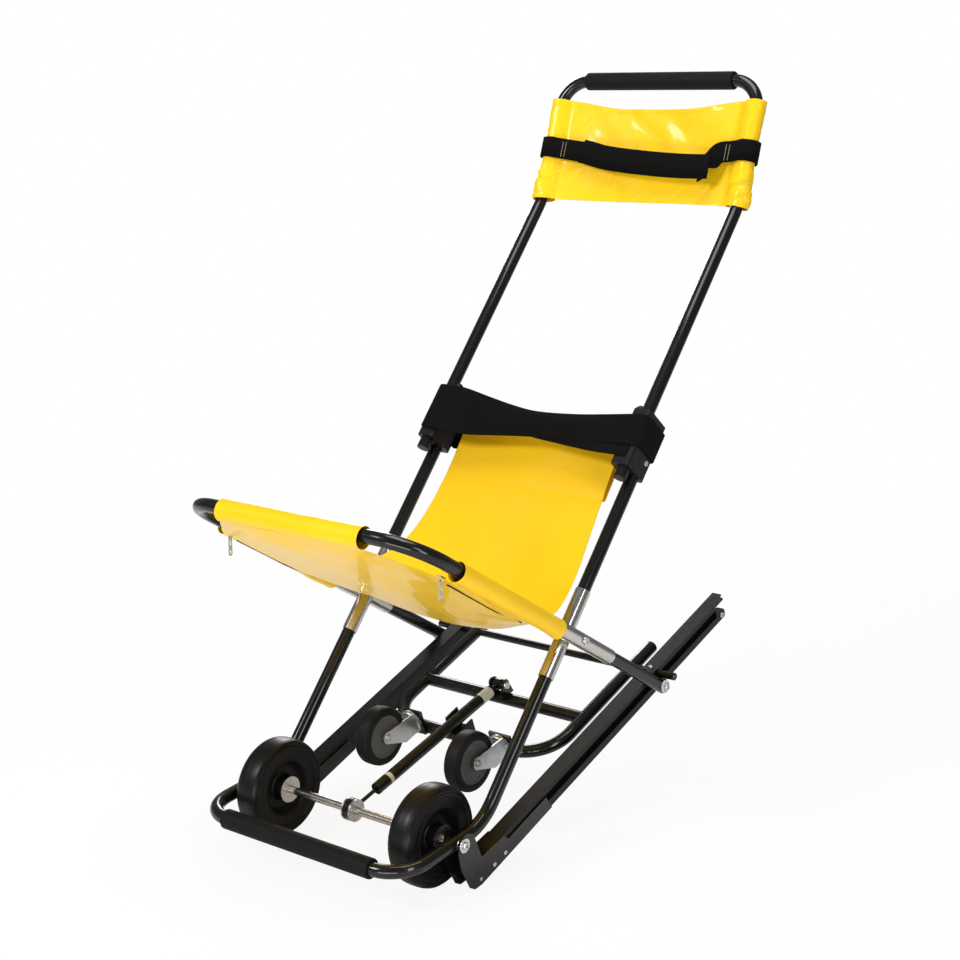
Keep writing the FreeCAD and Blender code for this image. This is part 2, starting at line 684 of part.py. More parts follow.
def cross_bar():
    """A solid bar through both rails and the caster frame; it is the caster's hinge."""
    centre = rail_point(CROSS_BAR_U, CROSS_BAR_N)
    bar = cross_rod(centre, -CROSS_BAR_END, CROSS_BAR_END, CROSS_BAR_R)
    ends = [e for e in bar.Edges if abs(e.Length - 2 * math.pi * CROSS_BAR_R) < 1e-3]
    bar = bar.makeChamfer(1.0, ends)
    for side in (-1, 1):
        top = rail_point(CROSS_BAR_U, RAIL_TOP, side * sum(RAIL_X) / 2)
        bar = bar.cut(rod(top, rail_point(CROSS_BAR_U, RAIL_TOP - 8, top.x), 2.0 + TOUCH))
    return bar


def cross_bar_screws():
    up = normal(RAIL_ANGLE)
    top = rail_point(CROSS_BAR_U, RAIL_TOP, sum(RAIL_X) / 2)
    shank = rod(top - up * 6.5, top + up * 0.5, 2.0)
    head = rod(top + up * TOUCH, top + up * 2.0, 4.0)
    rim = [e for e in head.Edges if (e.CenterOfMass - top).dot(up) > 1.9]
    return both_sides(fused([shank, head.makeFillet(1.2, rim)]))


# ---------------------------------------------------------------- caster frame

def caster_frame_point(u, off=0.0, x=0.0):
    return rail_point(u, CROSS_BAR_N + off, x)


def caster_frame_tube():
    half = [caster_frame_point(CASTER_FRAME_TOP, x=CASTER_FRAME_X),
            caster_frame_point(CASTER_BAR_U, x=CASTER_FRAME_X)]
    points = half + [Vec(-p.x, p.y, p.z) for p in reversed(half)]
    frame = tube(points, [CASTER_CORNER_R, CASTER_CORNER_R])
    pivot = rail_point(CROSS_BAR_U, CROSS_BAR_N)
    return frame.cut(cross_rod(pivot, -300, 300, CROSS_BAR_R + FIT))


def caster_brace():
    """The cross tube welded between the side tubes; its ends are coped to them."""
    half = CASTER_FRAME_X
    centre = caster_frame_point(BRACE_U)
    bar = cross_ring(centre, -half, half, TUBE_R - TOUCH, TUBE_R - TUBE_WALL)
    for side in (-1, 1):
        start = caster_frame_point(BRACE_U - 40, x=side * half)
        end = caster_frame_point(BRACE_U + 40, x=side * half)
        bar = bar.cut(rod(start, end, TUBE_R + TOUCH))
    return bar


def caster_frame_caps():
    """Domed plugs in the upper ends of the caster frame's side tubes."""
    end = caster_frame_point(CASTER_FRAME_TOP, x=CASTER_FRAME_X)
    up = direction(RAIL_ANGLE)
    flange = rod(end + up * TOUCH, end + up * 5.0, TUBE_R)
    rim = [e for e in flange.Edges if (e.CenterOfMass - end).dot(up) > 4.9]
    plug = rod(end - up * 12, end + up * 0.5, TUBE_R - TUBE_WALL - TOUCH)
    return both_sides(fused([flange.makeFillet(3.5, rim), plug]))


def strut_pin_axis():
    return rail_point(BRACE_U, STRUT_PIN_N)


def strut_bracket():
    """Two rounded ears welded to the brace, one on each side of the strut."""
    pin = strut_pin_axis()
    root = CROSS_BAR_N + TUBE_R - 3.0
    sides = []
    for side in (-1, 1):
        x0 = side * EAR_INNER
        x1 = side * (EAR_INNER + EAR_THICK)
        neck = [rail_point(BRACE_U - 16, root), rail_point(BRACE_U + 16, root),
                rail_point(BRACE_U + 10, STRUT_PIN_N), rail_point(BRACE_U - 10, STRUT_PIN_N)]
        ear = fused([side_plate(neck, x0, x1), cross_rod(pin, x0, x1, 10.5)])
        sides.append(ear)
    seat = caster_frame_point(BRACE_U)
    brace = cross_rod(seat, -50, 50, TUBE_R + TOUCH)
    pin_hole = cross_rod(pin, -50, 50, 4.0 + TOUCH)
    ears = [ear.cut(brace).cut(pin_hole) for ear in sides]
    return Part.Compound(ears)


def strut_bolt():
    pin = strut_pin_axis()
    face = EAR_INNER + EAR_THICK
    shank = cross_rod(pin, -face - 1, face + 1, 4.0)
    head = screw_head(pin, face + 0.1, face + 5.0, 7.0)
    nut = screw_head(pin, -face - 0.1, -face - 5.0, 7.0)
    return fused([shank, head, nut])


def strut_clip():
    """A fork on the caster frame's front bar that the strut drops into."""
    base_n = CROSS_BAR_N + TUBE_R + TOUCH
    left_top = -12.0
    right_top = -30.0
    half = STRUT_R + 2.0
    wall = 3.0
    outline = [(-half - wall, base_n - 4.0), (half + wall, base_n - 4.0),
               (half + wall, right_top), (half, right_top), (half, base_n + wall),
               (-half, base_n + wall), (-half, left_top), (-half - wall, left_top)]
    fork = bar_of_profile(outline, CASTER_BAR_U - 16, CASTER_BAR_U + 16, rail_point)
    bar = cross_rod(caster_frame_point(CASTER_BAR_U), -50, 50, TUBE_R + TOUCH)
    return fork.cut(bar)


def caster_mounts():
    """Plates welded to the front bar, one above each caster's swivel."""
    u1 = CASTER_BAR_U - TUBE_R + 1.5
    u0 = u1 - 5.0
    plate = block(rail_point, (u0, u1), (SWIVEL_N - 26, SWIVEL_N + 20),
                  (CASTER_X - 22, CASTER_X + 22))
    bar = cross_rod(caster_frame_point(CASTER_BAR_U), 0, 300, TUBE_R + TOUCH)
    stem_axis = direction(RAIL_ANGLE)
    hole_at = rail_point(u0 - 5, SWIVEL_N, CASTER_X)
    hole = rod(hole_at, hole_at + stem_axis * 20, STEM_R + TOUCH)
    return both_sides(plate.cut(bar).cut(hole))


def caster_stems():
    """The kingpin that each swivel head turns on, riveted through its plate."""
    along = direction(RAIL_ANGLE)
    low = rail_point(HEAD_TOP_U - 13.0, SWIVEL_N, CASTER_X)
    top = rail_point(MOUNT_U + TOUCH, SWIVEL_N, CASTER_X)
    shank = rod(low, top + along * 0.5, STEM_R)
    head = rod(top, top + along * 3.0, 8.0)
    bar = cross_rod(caster_frame_point(CASTER_BAR_U), 0, 300, TUBE_R + TOUCH)
    foot = rod(low - along * 3.0, low + along * 0.2, 8.0)
    return both_sides(fused([shank, head.cut(bar), foot]))


# ---------------------------------------------------------------- casters and strut

def caster_fork():
    """A pressed fork: a round swivel head and two tapering cheeks with the axle bolt."""
    along = direction(RAIL_ANGLE)
    top = rail_point(HEAD_TOP_U - 0.1, SWIVEL_N, CASTER_X)
    low = top - along * 10.0
    head = rod(low, top, SWIVEL_HEAD_R)
    rims = [e for e in head.Edges if abs(e.Length - 2 * math.pi * SWIVEL_HEAD_R) < 1e-3]
    head = head.makeFillet(3.0, rims)
    axle_at = rail_point(CASTER_AXLE_U, CASTER_AXLE_N)
    cheeks = []
    for side in (-1, 1):
        x0 = CASTER_X + side * FORK_INNER
        x1 = CASTER_X + side * FORK_OUTER
        outline = [(HEAD_TOP_U - 9.0, SWIVEL_N - 10.0), (HEAD_TOP_U - 1.5, SWIVEL_N - 10.0),
                   (HEAD_TOP_U - 1.5, SWIVEL_N + 10.0), (HEAD_TOP_U - 12.0, SWIVEL_N + 27.0),
                   (CASTER_AXLE_U + 6.0, CASTER_AXLE_N + 9.0),
                   (CASTER_AXLE_U - 9.0, CASTER_AXLE_N + 5.0),
                   (CASTER_AXLE_U - 7.0, CASTER_AXLE_N - 8.0),
                   (CASTER_AXLE_U + 35.0, SWIVEL_N - 9.0)]
        cheek = side_plate([rail_point(u, n) for u, n in outline], x0, x1, fillet=1.2)
        cheek = fused([cheek, cross_rod(axle_at, x0, x1, 11.0)])
        cheeks.append(cheek)
    bridge = block(rail_point, (HEAD_TOP_U - 10.1, HEAD_TOP_U - 7.5),
                   (SWIVEL_N - 10.0, SWIVEL_N + 12.0),
                   (CASTER_X - FORK_OUTER, CASTER_X + FORK_OUTER))
    solid = fused([head, bridge] + cheeks)
    solid = solid.cut(rod(low - along * 5, top + along * 5, STEM_R + FIT))
    foot_room = rod(low - along * 6, low + along * 0.1, 8.5)
    solid = solid.cut(foot_room)
    return solid.cut(cross_rod(axle_at, 0, 300, 4.0 + TOUCH))


def caster_axle_bolt():
    centre = rail_point(CASTER_AXLE_U, CASTER_AXLE_N)
    right = CASTER_X + FORK_OUTER
    left = CASTER_X - FORK_OUTER
    shank = cross_rod(centre, left - 0.5, right + 0.5, 4.0)
    head = screw_head(centre, right + TOUCH, right + 3.5, 6.0)
    nut = screw_head(centre, left - TOUCH, left - 3.5, 6.0)
    return fused([shank, head, nut])


def caster_disc():
    """The grey moulded wheel centre, almost flat, with a short hub."""
    rim = CASTER_RIM_R
    face = [(4.0 + FIT, FORK_INNER - 0.5), (8.5, FORK_INNER - 0.5), (9.0, CASTER_HALF - 2.5),
            (30.0, CASTER_HALF - 3.0), (34.5, CASTER_HALF - 1.5), (rim - TOUCH, CASTER_HALF - 1.5)]
    outline = face + [(r, -x) for r, x in reversed(face)]
    return turned(outline, CASTER_X, rail_point(CASTER_AXLE_U, CASTER_AXLE_N))


def caster_tyre():
    rim = CASTER_RIM_R
    face = [(rim, CASTER_HALF - 1.0), (38.5, CASTER_HALF), (44.0, CASTER_HALF),
            (48.0, CASTER_HALF - 2.0), (49.5, CASTER_HALF - 5.0), (CASTER_R, CASTER_HALF - 9.0)]
    outline = face + [(r, -x) for r, x in reversed(face)]
    return turned(outline, CASTER_X, rail_point(CASTER_AXLE_U, CASTER_AXLE_N))


def strut_line(distance):
    """A point on the strut's line, at a distance from the axle towards its upper pin."""
    return strut_pin_axis().normalize() * distance


def strut_rod():
    """The piston rod and its round eye on the axle."""
    eye = cross_ring(AXLE, -STRUT_EYE_HALF, STRUT_EYE_HALF, STRUT_EYE_R, AXLE_R + FIT)
    rims = [e for e in eye.Edges if abs(e.Length - 2 * math.pi * STRUT_EYE_R) < 1e-3]
    eye = eye.makeFillet(1.5, rims)
    shaft = rod(strut_line(STRUT_EYE_R - 3.0), strut_line(290.0), STRUT_ROD_R)
    return fused([eye, shaft])


def strut_cylinder():
    """The gas strut's cylinder, open at the rod's end, with a flat eye at its upper pin."""
    low, high = STRUT_CYLINDER
    barrel = rod(strut_line(low), strut_line(high), STRUT_R)
    bore = rod(strut_line(low - 5), strut_line(high - 12), STRUT_BORE_R)
    pin = strut_pin_axis()
    neck = rod(strut_line(high - 4), strut_line(pin.Length), 5.0)
    eye = cross_rod(pin, -6.0, 6.0, 9.0)
    solid = fused([barrel, neck, eye]).cut(bore)
    return solid.cut(cross_rod(pin, -50, 50, 4.0 + FIT))


# ---------------------------------------------------------------- the assembly

def parts():
    """Every piece by its name, in the axle's frame of reference."""
    right = {
        "guide_block": guide_block(),
        "wheel_hub": wheel_hub(),
        "wheel_tyre": wheel_tyre(),
        "rail": rail(),
        "stair_belt": stair_belt(),
        "upper_roller": belt_roller(upper_roller_axis()),
        "lower_roller": belt_roller(lower_roller_axis()),
        "zip_pull": zip_pull(),
        "caster_fork": caster_fork(),
        "caster_axle_bolt": caster_axle_bolt(),
        "caster_disc": caster_disc(),
        "caster_tyre": caster_tyre(),
        "seat_pivot_bolt": seat_pivot_bolt(),
    }
    whole = {
        "main_frame_tube": main_frame_tube(),
        "foot_grip": grip(FOOT_BAR, LEG_X - FOOT_CORNER_R),
        "leg_sleeves": leg_sleeves(),
        "guide_block_screws": block_screws(),
        "back_bar": back_bar(),
        "seat_pivot_spacers": seat_pivot_spacers(),
        "axle": axle(),
        "axle_bolts": axle_bolts(),
        "axle_end_washers": axle_end_washers(),
        "axle_washers": axle_washers(),
        "back_belt": back_belt(),
        "back_sheet": back_sheet(),
        "handle_tube": handle_tube(),
        "handle_grip": grip(HANDLE_GRIP, LEG_X - HANDLE_CORNER_R),
        "handle_end_caps": handle_end_caps(),
        "headrest_panel": headrest_panel(),
        "head_strap": head_strap(),
        "seat_tube": seat_tube(),
        "seat_sleeves": seat_sleeves(),
        "seat_end_caps": seat_end_caps(),
        "rear_pins": rear_pins(),
        "rear_pin_washers": rear_pin_washers(),
        "seat_sheet": seat_sheet(),
        "zip_sliders": zip_sliders(),
        "bracket_plates": bracket_plates(),
        "bracket_screws": bracket_screws(),
        "roller_pins": roller_pins(),
        "cross_bar": cross_bar(),
        "cross_bar_screws": cross_bar_screws(),
        "caster_frame_tube": caster_frame_tube(),
        "caster_brace": caster_brace(),
        "caster_frame_caps": caster_frame_caps(),
        "strut_bracket": strut_bracket(),
        "strut_bolt": strut_bolt(),
        "strut_clip": strut_clip(),
        "caster_mounts": caster_mounts(),
        "caster_stems": caster_stems(),
        "strut_rod": strut_rod(),
        "strut_cylinder": strut_cylinder(),
    }
    grouped = ("seat_pivot_bolt", "guide_block", "stair_belt", "upper_roller", "lower_roller")
    for name, shape in right.items():
        if name in grouped:
            whole[name + "s"] = both_sides(shape)
        else:
            whole["right_" + name] = shape
            whole["left_" + name] = mirrored(shape)
    return whole


def main():
    os.makedirs("parts", exist_ok=True)
    for name, shape in parts().items():
        shape.translate(TO_ORIGIN)
        shape.exportStep("parts/" + name + ".step")


if __name__ == "__main__":
    main()
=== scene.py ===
"""Stair chair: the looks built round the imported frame. Metres, +Z up, +Y to the rear.

Places along the chair are worked out from the frame's joints and boxes. leg(), seat() and head()
take millimetres along and out from the legs, the seat frame and the handle frame's top.
"""

import json
import math

import bpy
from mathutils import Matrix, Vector, noise


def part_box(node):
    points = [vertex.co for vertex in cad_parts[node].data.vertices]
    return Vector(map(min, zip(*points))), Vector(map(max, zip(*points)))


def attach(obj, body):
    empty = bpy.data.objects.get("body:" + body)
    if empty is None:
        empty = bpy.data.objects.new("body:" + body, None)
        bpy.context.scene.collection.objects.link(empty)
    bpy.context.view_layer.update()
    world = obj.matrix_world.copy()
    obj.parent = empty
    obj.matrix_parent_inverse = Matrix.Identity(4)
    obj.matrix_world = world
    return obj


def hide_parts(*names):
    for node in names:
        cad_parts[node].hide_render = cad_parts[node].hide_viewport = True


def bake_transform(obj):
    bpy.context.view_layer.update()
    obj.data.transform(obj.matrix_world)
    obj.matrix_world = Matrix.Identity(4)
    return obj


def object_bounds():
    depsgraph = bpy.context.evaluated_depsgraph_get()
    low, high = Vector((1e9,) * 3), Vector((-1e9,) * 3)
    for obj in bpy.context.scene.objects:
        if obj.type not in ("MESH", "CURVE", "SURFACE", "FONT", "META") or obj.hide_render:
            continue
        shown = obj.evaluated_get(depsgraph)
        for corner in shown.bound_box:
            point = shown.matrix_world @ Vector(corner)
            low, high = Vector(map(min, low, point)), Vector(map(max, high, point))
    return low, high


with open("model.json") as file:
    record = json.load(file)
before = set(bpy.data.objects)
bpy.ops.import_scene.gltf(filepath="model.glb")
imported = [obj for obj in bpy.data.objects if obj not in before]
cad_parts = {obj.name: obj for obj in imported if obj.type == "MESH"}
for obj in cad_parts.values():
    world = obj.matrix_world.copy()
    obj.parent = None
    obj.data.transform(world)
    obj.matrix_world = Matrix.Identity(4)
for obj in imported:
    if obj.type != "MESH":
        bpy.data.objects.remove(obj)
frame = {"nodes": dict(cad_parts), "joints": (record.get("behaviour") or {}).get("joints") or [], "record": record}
CAD_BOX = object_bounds()
JOINTS = {joint["name"]: joint for joint in frame["joints"]}
NODES = frame["nodes"]
MM = 0.001


# ---------------------------------------------------------------- places taken from the frame

def joint_place(name):
    return Vector(JOINTS[name]["pos_m"])


def node_middle(name):
    low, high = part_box(name)
    return (low + high) / 2


def across(direction):
    """A quarter turn from a direction in the YZ plane, towards +Z."""
    return Vector((0, -direction.z, direction.y))


TUBE_R = 11 * MM
AXLE = joint_place("rail_fold")
LEG_UP = -Vector(JOINTS["handle_slide"]["axis"])
LEG_OUT = across(LEG_UP)
RAIL_UP = Vector(JOINTS["right_caster_turn"]["axis"])
RAIL_OUT = across(RAIL_UP)
PIVOT = joint_place("seat_fold")
SEAT_BACK = (node_middle("rear_pins") - PIVOT).normalized()
SEAT_OUT = across(SEAT_BACK)
SEAT_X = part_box("seat_tube")[1].x - TUBE_R
LEG_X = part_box("main_frame_tube")[1].x - TUBE_R
HEAD_TILT = math.radians(72.3)
GRIP_ALONG = 221
HEAD_UP = Vector((0, math.cos(HEAD_TILT), math.sin(HEAD_TILT)))
HEAD_OUT = across(HEAD_UP)
HEAD_BASE = node_middle("handle_grip") - HEAD_UP * GRIP_ALONG * MM


def leg(along, off, x=0.0):
    """A point in the leg's frame, in millimetres from the axle."""
    return AXLE + LEG_UP * along * MM + LEG_OUT * off * MM + Vector((x * MM, 0, 0))


def seat(along, off, x=0.0):
    """A point in the seat frame, in millimetres from its pivot, positive to the rear."""
    return PIVOT + SEAT_BACK * along * MM + SEAT_OUT * off * MM + Vector((x * MM, 0, 0))


def head(along, off, x=0.0):
    """A point on the headrest, in millimetres from the bottom of its panel."""
    return HEAD_BASE + HEAD_UP * along * MM + HEAD_OUT * off * MM + Vector((x * MM, 0, 0))


# ---------------------------------------------------------------- materials

class Shader:
    """A node material built up from a Principled base."""

    def __init__(self, name, colour, roughness, metallic=0.0, **inputs):
        self.material = bpy.data.materials.new(name)
        self.material.use_nodes = True
        self.tree = self.material.node_tree
        self.base = self.tree.nodes["Principled BSDF"]
        self.base.inputs["Base Color"].default_value = (*colour, 1)
        self.base.inputs["Roughness"].default_value = roughness
        self.base.inputs["Metallic"].default_value = metallic
        for key, value in inputs.items():
            self.base.inputs[key.replace("_", " ")].default_value = value
        self.height = None

    def node(self, kind, **values):
        made = self.tree.nodes.new(kind)
        for key, value in values.items():
            if hasattr(made, key):
                setattr(made, key, value)
            else:
                made.inputs[key.replace("_", " ")].default_value = value
        return made

    def link(self, output, target):
        self.tree.links.new(output, target)

    def coords(self, stretch=(1, 1, 1), turn=(0, 0, 0)):
        """Object coordinates, turned and then drawn out along each turned axis."""
        source = self.node("ShaderNodeTexCoord")
        mapping = self.node("ShaderNodeMapping", vector_type="TEXTURE")
        mapping.inputs["Scale"].default_value = stretch
        mapping.inputs["Rotation"].default_value = turn
        self.link(source.outputs["Object"], mapping.inputs["Vector"])
        return mapping.outputs["Vector"]

    def noise(self, scale, detail=4.0, stretch=(1, 1, 1), turn=(0, 0, 0), distortion=0.0):
        made = self.node("ShaderNodeTexNoise", Scale=scale, Detail=detail,
                         Distortion=distortion)
        self.link(self.coords(stretch, turn), made.inputs["Vector"])
        return made.outputs["Fac"]

    def wave(self, scale, turn=(0, 0, 0), direction="X"):
        made = self.node("ShaderNodeTexWave", Scale=scale, Distortion=0.0)
        made.bands_direction = direction
        self.link(self.coords(turn=turn), made.inputs["Vector"])
        return made.outputs["Fac"]

    def ramp(self, value, low, high):
        made = self.node("ShaderNodeMapRange")
        made.inputs["To Min"].default_value = low
        made.inputs["To Max"].default_value = high
        self.link(value, made.inputs["Value"])
        return made.outputs["Result"]

    def vary_roughness(self, value, low, high):
        self.link(self.ramp(value, low, high), self.base.inputs["Roughness"])

    def vary_colour(self, value, dark, light):
        """Blends two colours by a value; a colour mix node's own sockets start at 6."""
        first, second, result = 6, 7, 2
        mix = self.node("ShaderNodeMix", data_type="RGBA")
        mix.inputs[first].default_value = (*dark, 1)
        mix.inputs[second].default_value = (*light, 1)
        self.link(value, mix.inputs[0])
        self.link(mix.outputs[result], self.base.inputs["Base Color"])

    def bump(self, value, depth):
        """Adds a bump layer, in metres of relief."""
        made = self.node("ShaderNodeBump", Strength=1.0, Distance=depth)
        self.link(value, made.inputs["Height"])
        if self.height is not None:
            self.link(self.height, made.inputs["Normal"])
        self.height = made.outputs["Normal"]
        self.link(self.height, self.base.inputs["Normal"])


CRUMPLE_TURN = (0, math.radians(38), 0)
LEG_TURN = (math.atan2(LEG_UP.z, LEG_UP.y), 0, 0)
RAIL_TURN = (math.atan2(RAIL_UP.z, RAIL_UP.y), 0, 0)


def gloss_paint():
    """Black powder coat: dark and glossy, so lamps show as long thin lines."""
    s = Shader("gloss_black_paint", (0.004, 0.004, 0.0042), 0.3, Specular_IOR_Level=0.12,
               Coat_Weight=0.6, Coat_Roughness=0.03)
    s.vary_roughness(s.noise(9.0, 3), 0.26, 0.36)
    s.vary_colour(s.noise(30.0, 2), (0.0035, 0.0035, 0.0034), (0.0055, 0.0054, 0.0052))
    return s.material


def chrome():
    """Satin nickel plate, with faint polishing marks."""
    s = Shader("nickel_plate", (0.6, 0.58, 0.54), 0.18, metallic=1.0)
    s.vary_colour(s.noise(14.0, 3), (0.54, 0.52, 0.48), (0.66, 0.64, 0.6))
    s.vary_roughness(s.noise(30.0, 4), 0.14, 0.24)
    s.bump(s.noise(500.0, 2), 0.000004)
    return s.material


def zinc():
    """Dull zinc plate with cloudy crystals."""
    s = Shader("zinc_plate", (0.52, 0.53, 0.52), 0.32, metallic=1.0)
    s.vary_colour(s.noise(90.0, 5), (0.42, 0.43, 0.45), (0.72, 0.72, 0.72))
    s.vary_roughness(s.noise(160.0, 4), 0.26, 0.42)
    s.bump(s.noise(700.0, 3), 0.00001)
    return s.material


def bright_steel():
    """Bright zinc on bolts and washers."""
    s = Shader("bright_zinc_steel", (0.66, 0.66, 0.66), 0.28, metallic=1.0)
    s.vary_colour(s.noise(200.0, 3), (0.5, 0.5, 0.5), (0.75, 0.75, 0.74))
    s.vary_roughness(s.noise(300.0, 3), 0.2, 0.38)
    return s.material


def turned_steel():
    """The polished axle: fine lathe marks run round it."""
    s = Shader("turned_steel", (0.58, 0.55, 0.5), 0.22, metallic=1.0)
    s.vary_colour(s.noise(8.0, 4, (0.16, 1, 1)), (0.5, 0.47, 0.43), (0.64, 0.61, 0.56))
    s.vary_roughness(s.noise(12.0, 3, (0.12, 1, 1)), 0.17, 0.28)
    s.bump(s.noise(60.0, 2, (0.03, 1, 1)), 0.000003)
    return s.material


def foam():
    """Closed-cell foam sleeve with fine pores."""
    s = Shader("foam", (0.006, 0.006, 0.006), 0.6, Specular_IOR_Level=0.12)
    s.vary_colour(s.noise(55.0, 4), (0.004, 0.004, 0.004), (0.008, 0.0078, 0.0075))
    s.bump(s.noise(1500.0, 2), 0.0001)
    s.bump(s.noise(45.0, 2), 0.0003)
    return s.material


def nylon():
    """Black moulded nylon with a fine spark-eroded texture."""
    s = Shader("moulded_nylon", (0.006, 0.006, 0.006), 0.4, Specular_IOR_Level=0.25)
    s.vary_roughness(s.noise(35.0, 3), 0.34, 0.5)
    s.bump(s.noise(1300.0, 2), 0.0001)
    return s.material


def wheel_plastic():
    """Black moulded hub."""
    s = Shader("wheel_plastic", (0.004, 0.004, 0.004), 0.32, Specular_IOR_Level=0.18)
    s.vary_roughness(s.noise(30.0, 4), 0.32, 0.5)
    s.bump(s.noise(800.0, 2), 0.00008)
    return s.material


def tyre_rubber():
    """Black rubber with a faint mould texture."""
    s = Shader("tyre_rubber", (0.005, 0.005, 0.005), 0.42, Specular_IOR_Level=0.2)
    s.vary_colour(s.noise(25.0, 5), (0.004, 0.004, 0.004), (0.008, 0.0078, 0.0075))
    s.vary_roughness(s.noise(60.0, 4), 0.3, 0.4)
    s.bump(s.noise(900.0, 3), 0.00004)
    return s.material


def caster_rubber():
    """The casters' softer black tyre."""
    s = Shader("caster_rubber", (0.007, 0.007, 0.007), 0.45, Specular_IOR_Level=0.12)
    s.vary_colour(s.noise(40.0, 4), (0.006, 0.006, 0.006), (0.012, 0.012, 0.012))
    s.vary_roughness(s.noise(60.0, 4), 0.4, 0.62)
    s.bump(s.noise(900.0, 2), 0.0001)
    return s.material


def caster_plastic():
    """Dark grey moulded disc."""
    s = Shader("caster_plastic", (0.07, 0.07, 0.07), 0.45, Specular_IOR_Level=0.3)
    s.vary_colour(s.noise(30.0, 4), (0.06, 0.06, 0.06), (0.085, 0.084, 0.082))
    s.vary_roughness(s.noise(50.0, 3), 0.35, 0.52)
    s.bump(s.noise(1000.0, 2), 0.00008)
    return s.material


def rail_metal():
    """Black anodised extrusion: faint die lines run along it."""
    s = Shader("anodised_rail", (0.005, 0.005, 0.0048), 0.3, Specular_IOR_Level=0.2)
    s.vary_colour(s.noise(16.0, 3), (0.004, 0.0038, 0.0036), (0.0075, 0.007, 0.0065))
    s.vary_roughness(s.noise(60.0, 4, (1, 20, 1), RAIL_TURN), 0.28, 0.46)
    s.bump(s.noise(300.0, 2, (1, 100, 1), RAIL_TURN), 0.000004)
    return s.material


def ribbed_rubber():
    """The stair belt: ribs lie across it."""
    s = Shader("ribbed_rubber", (0.009, 0.009, 0.009), 0.6, Specular_IOR_Level=0.3)
    s.bump(s.wave(55.0, RAIL_TURN, direction="Y"), 0.001)
    s.vary_colour(s.noise(40.0, 4), (0.009, 0.009, 0.009), (0.018, 0.018, 0.018))
    return s.material


def vinyl(name, crumple):
    """Coated yellow cloth: a wet-looking coat over a faint weave, crumpled to a depth in metres."""
    s = Shader(name, (0.9, 0.58, 0.01), 0.34, Specular_IOR_Level=0.12,
               Coat_Weight=0.25, Coat_Roughness=0.05)
    s.vary_colour(s.noise(4.0, 3), (0.84, 0.49, 0.006), (0.93, 0.59, 0.011))
    s.vary_roughness(s.noise(14.0, 4), 0.28, 0.42)
    s.bump(s.noise(11.0, 4), 0.0022)
    s.bump(s.noise(26.0, 2, (1, 1, 2.4), CRUMPLE_TURN, distortion=1.2), crumple)
    s.bump(s.wave(700.0), 0.00001)
    s.bump(s.wave(700.0, direction="Z"), 0.00001)
    return s.material


def webbing():
    """Black woven webbing: ribs along its length and a herringbone sheen."""
    s = Shader("black_webbing", (0.005, 0.005, 0.005), 0.85, Specular_IOR_Level=0.06)
    s.bump(s.wave(420.0), 0.00012)
    s.bump(s.wave(260.0, direction="Z"), 0.0003)
    s.vary_colour(s.noise(600.0, 2), (0.003, 0.003, 0.003), (0.007, 0.0068, 0.0066))
    return s.material


def elastic():
    """Wide woven elastic with fine cords across the chair."""
    s = Shader("black_elastic", (0.006, 0.006, 0.006), 0.85, Specular_IOR_Level=0.06)
    s.bump(s.wave(330.0, LEG_TURN, direction="Y"), 0.00035)
    s.bump(s.wave(900.0), 0.0001)
    s.vary_colour(s.noise(14.0, 4), (0.005, 0.005, 0.005), (0.009, 0.0088, 0.0085))
    return s.material


def thread():
    """Pale sewing thread on the head strap."""
    s = Shader("pale_thread", (0.55, 0.5, 0.3), 0.6)
    s.bump(s.noise(3000.0, 2), 0.0001)
    return s.material


def pale_nylon():
    """Off-white spacers."""
    s = Shader("pale_nylon", (0.6, 0.6, 0.57), 0.4)
    s.vary_colour(s.noise(90.0, 4), (0.5, 0.5, 0.47), (0.66, 0.66, 0.63))
    s.bump(s.noise(800.0, 2), 0.00006)
    return s.material


def label_film():
    """A blank satin label."""
    s = Shader("label_film", (0.55, 0.53, 0.47), 0.35)
    s.vary_colour(s.noise(40.0, 4), (0.48, 0.46, 0.4), (0.62, 0.6, 0.54))
    return s.material


def floor_paint():
    """Pale floor that fades to pure white away from the chair, as seen by the camera."""
    s = Shader("pale_floor", (0.85, 0.85, 0.85), 0.8)
    s.vary_roughness(s.noise(3.0, 2), 0.7, 0.9)
    glow = s.node("ShaderNodeEmission", Strength=1.0)
    path = s.node("ShaderNodeLightPath")
    place = s.node("ShaderNodeNewGeometry")
    far = s.node("ShaderNodeVectorMath", operation="LENGTH")
    fade = s.node("ShaderNodeMapRange", interpolation_type="SMOOTHSTEP")
    for key, value in (("From Min", 0.9), ("From Max", 3.0), ("To Min", 0.9), ("To Max", 1.0)):
        fade.inputs[key].default_value = value
    share = s.node("ShaderNodeMath", operation="MULTIPLY")
    mix = s.node("ShaderNodeMixShader")
    s.link(place.outputs["Position"], far.inputs[0])
    s.link(far.outputs["Value"], fade.inputs["Value"])
    s.link(path.outputs["Is Camera Ray"], share.inputs[0])
    s.link(fade.outputs["Result"], share.inputs[1])
    s.link(share.outputs[0], mix.inputs[0])
    s.link(s.base.outputs[0], mix.inputs[1])
    s.link(glow.outputs[0], mix.inputs[2])
    s.link(mix.outputs[0], s.tree.nodes["Material Output"].inputs["Surface"])
    return s.material


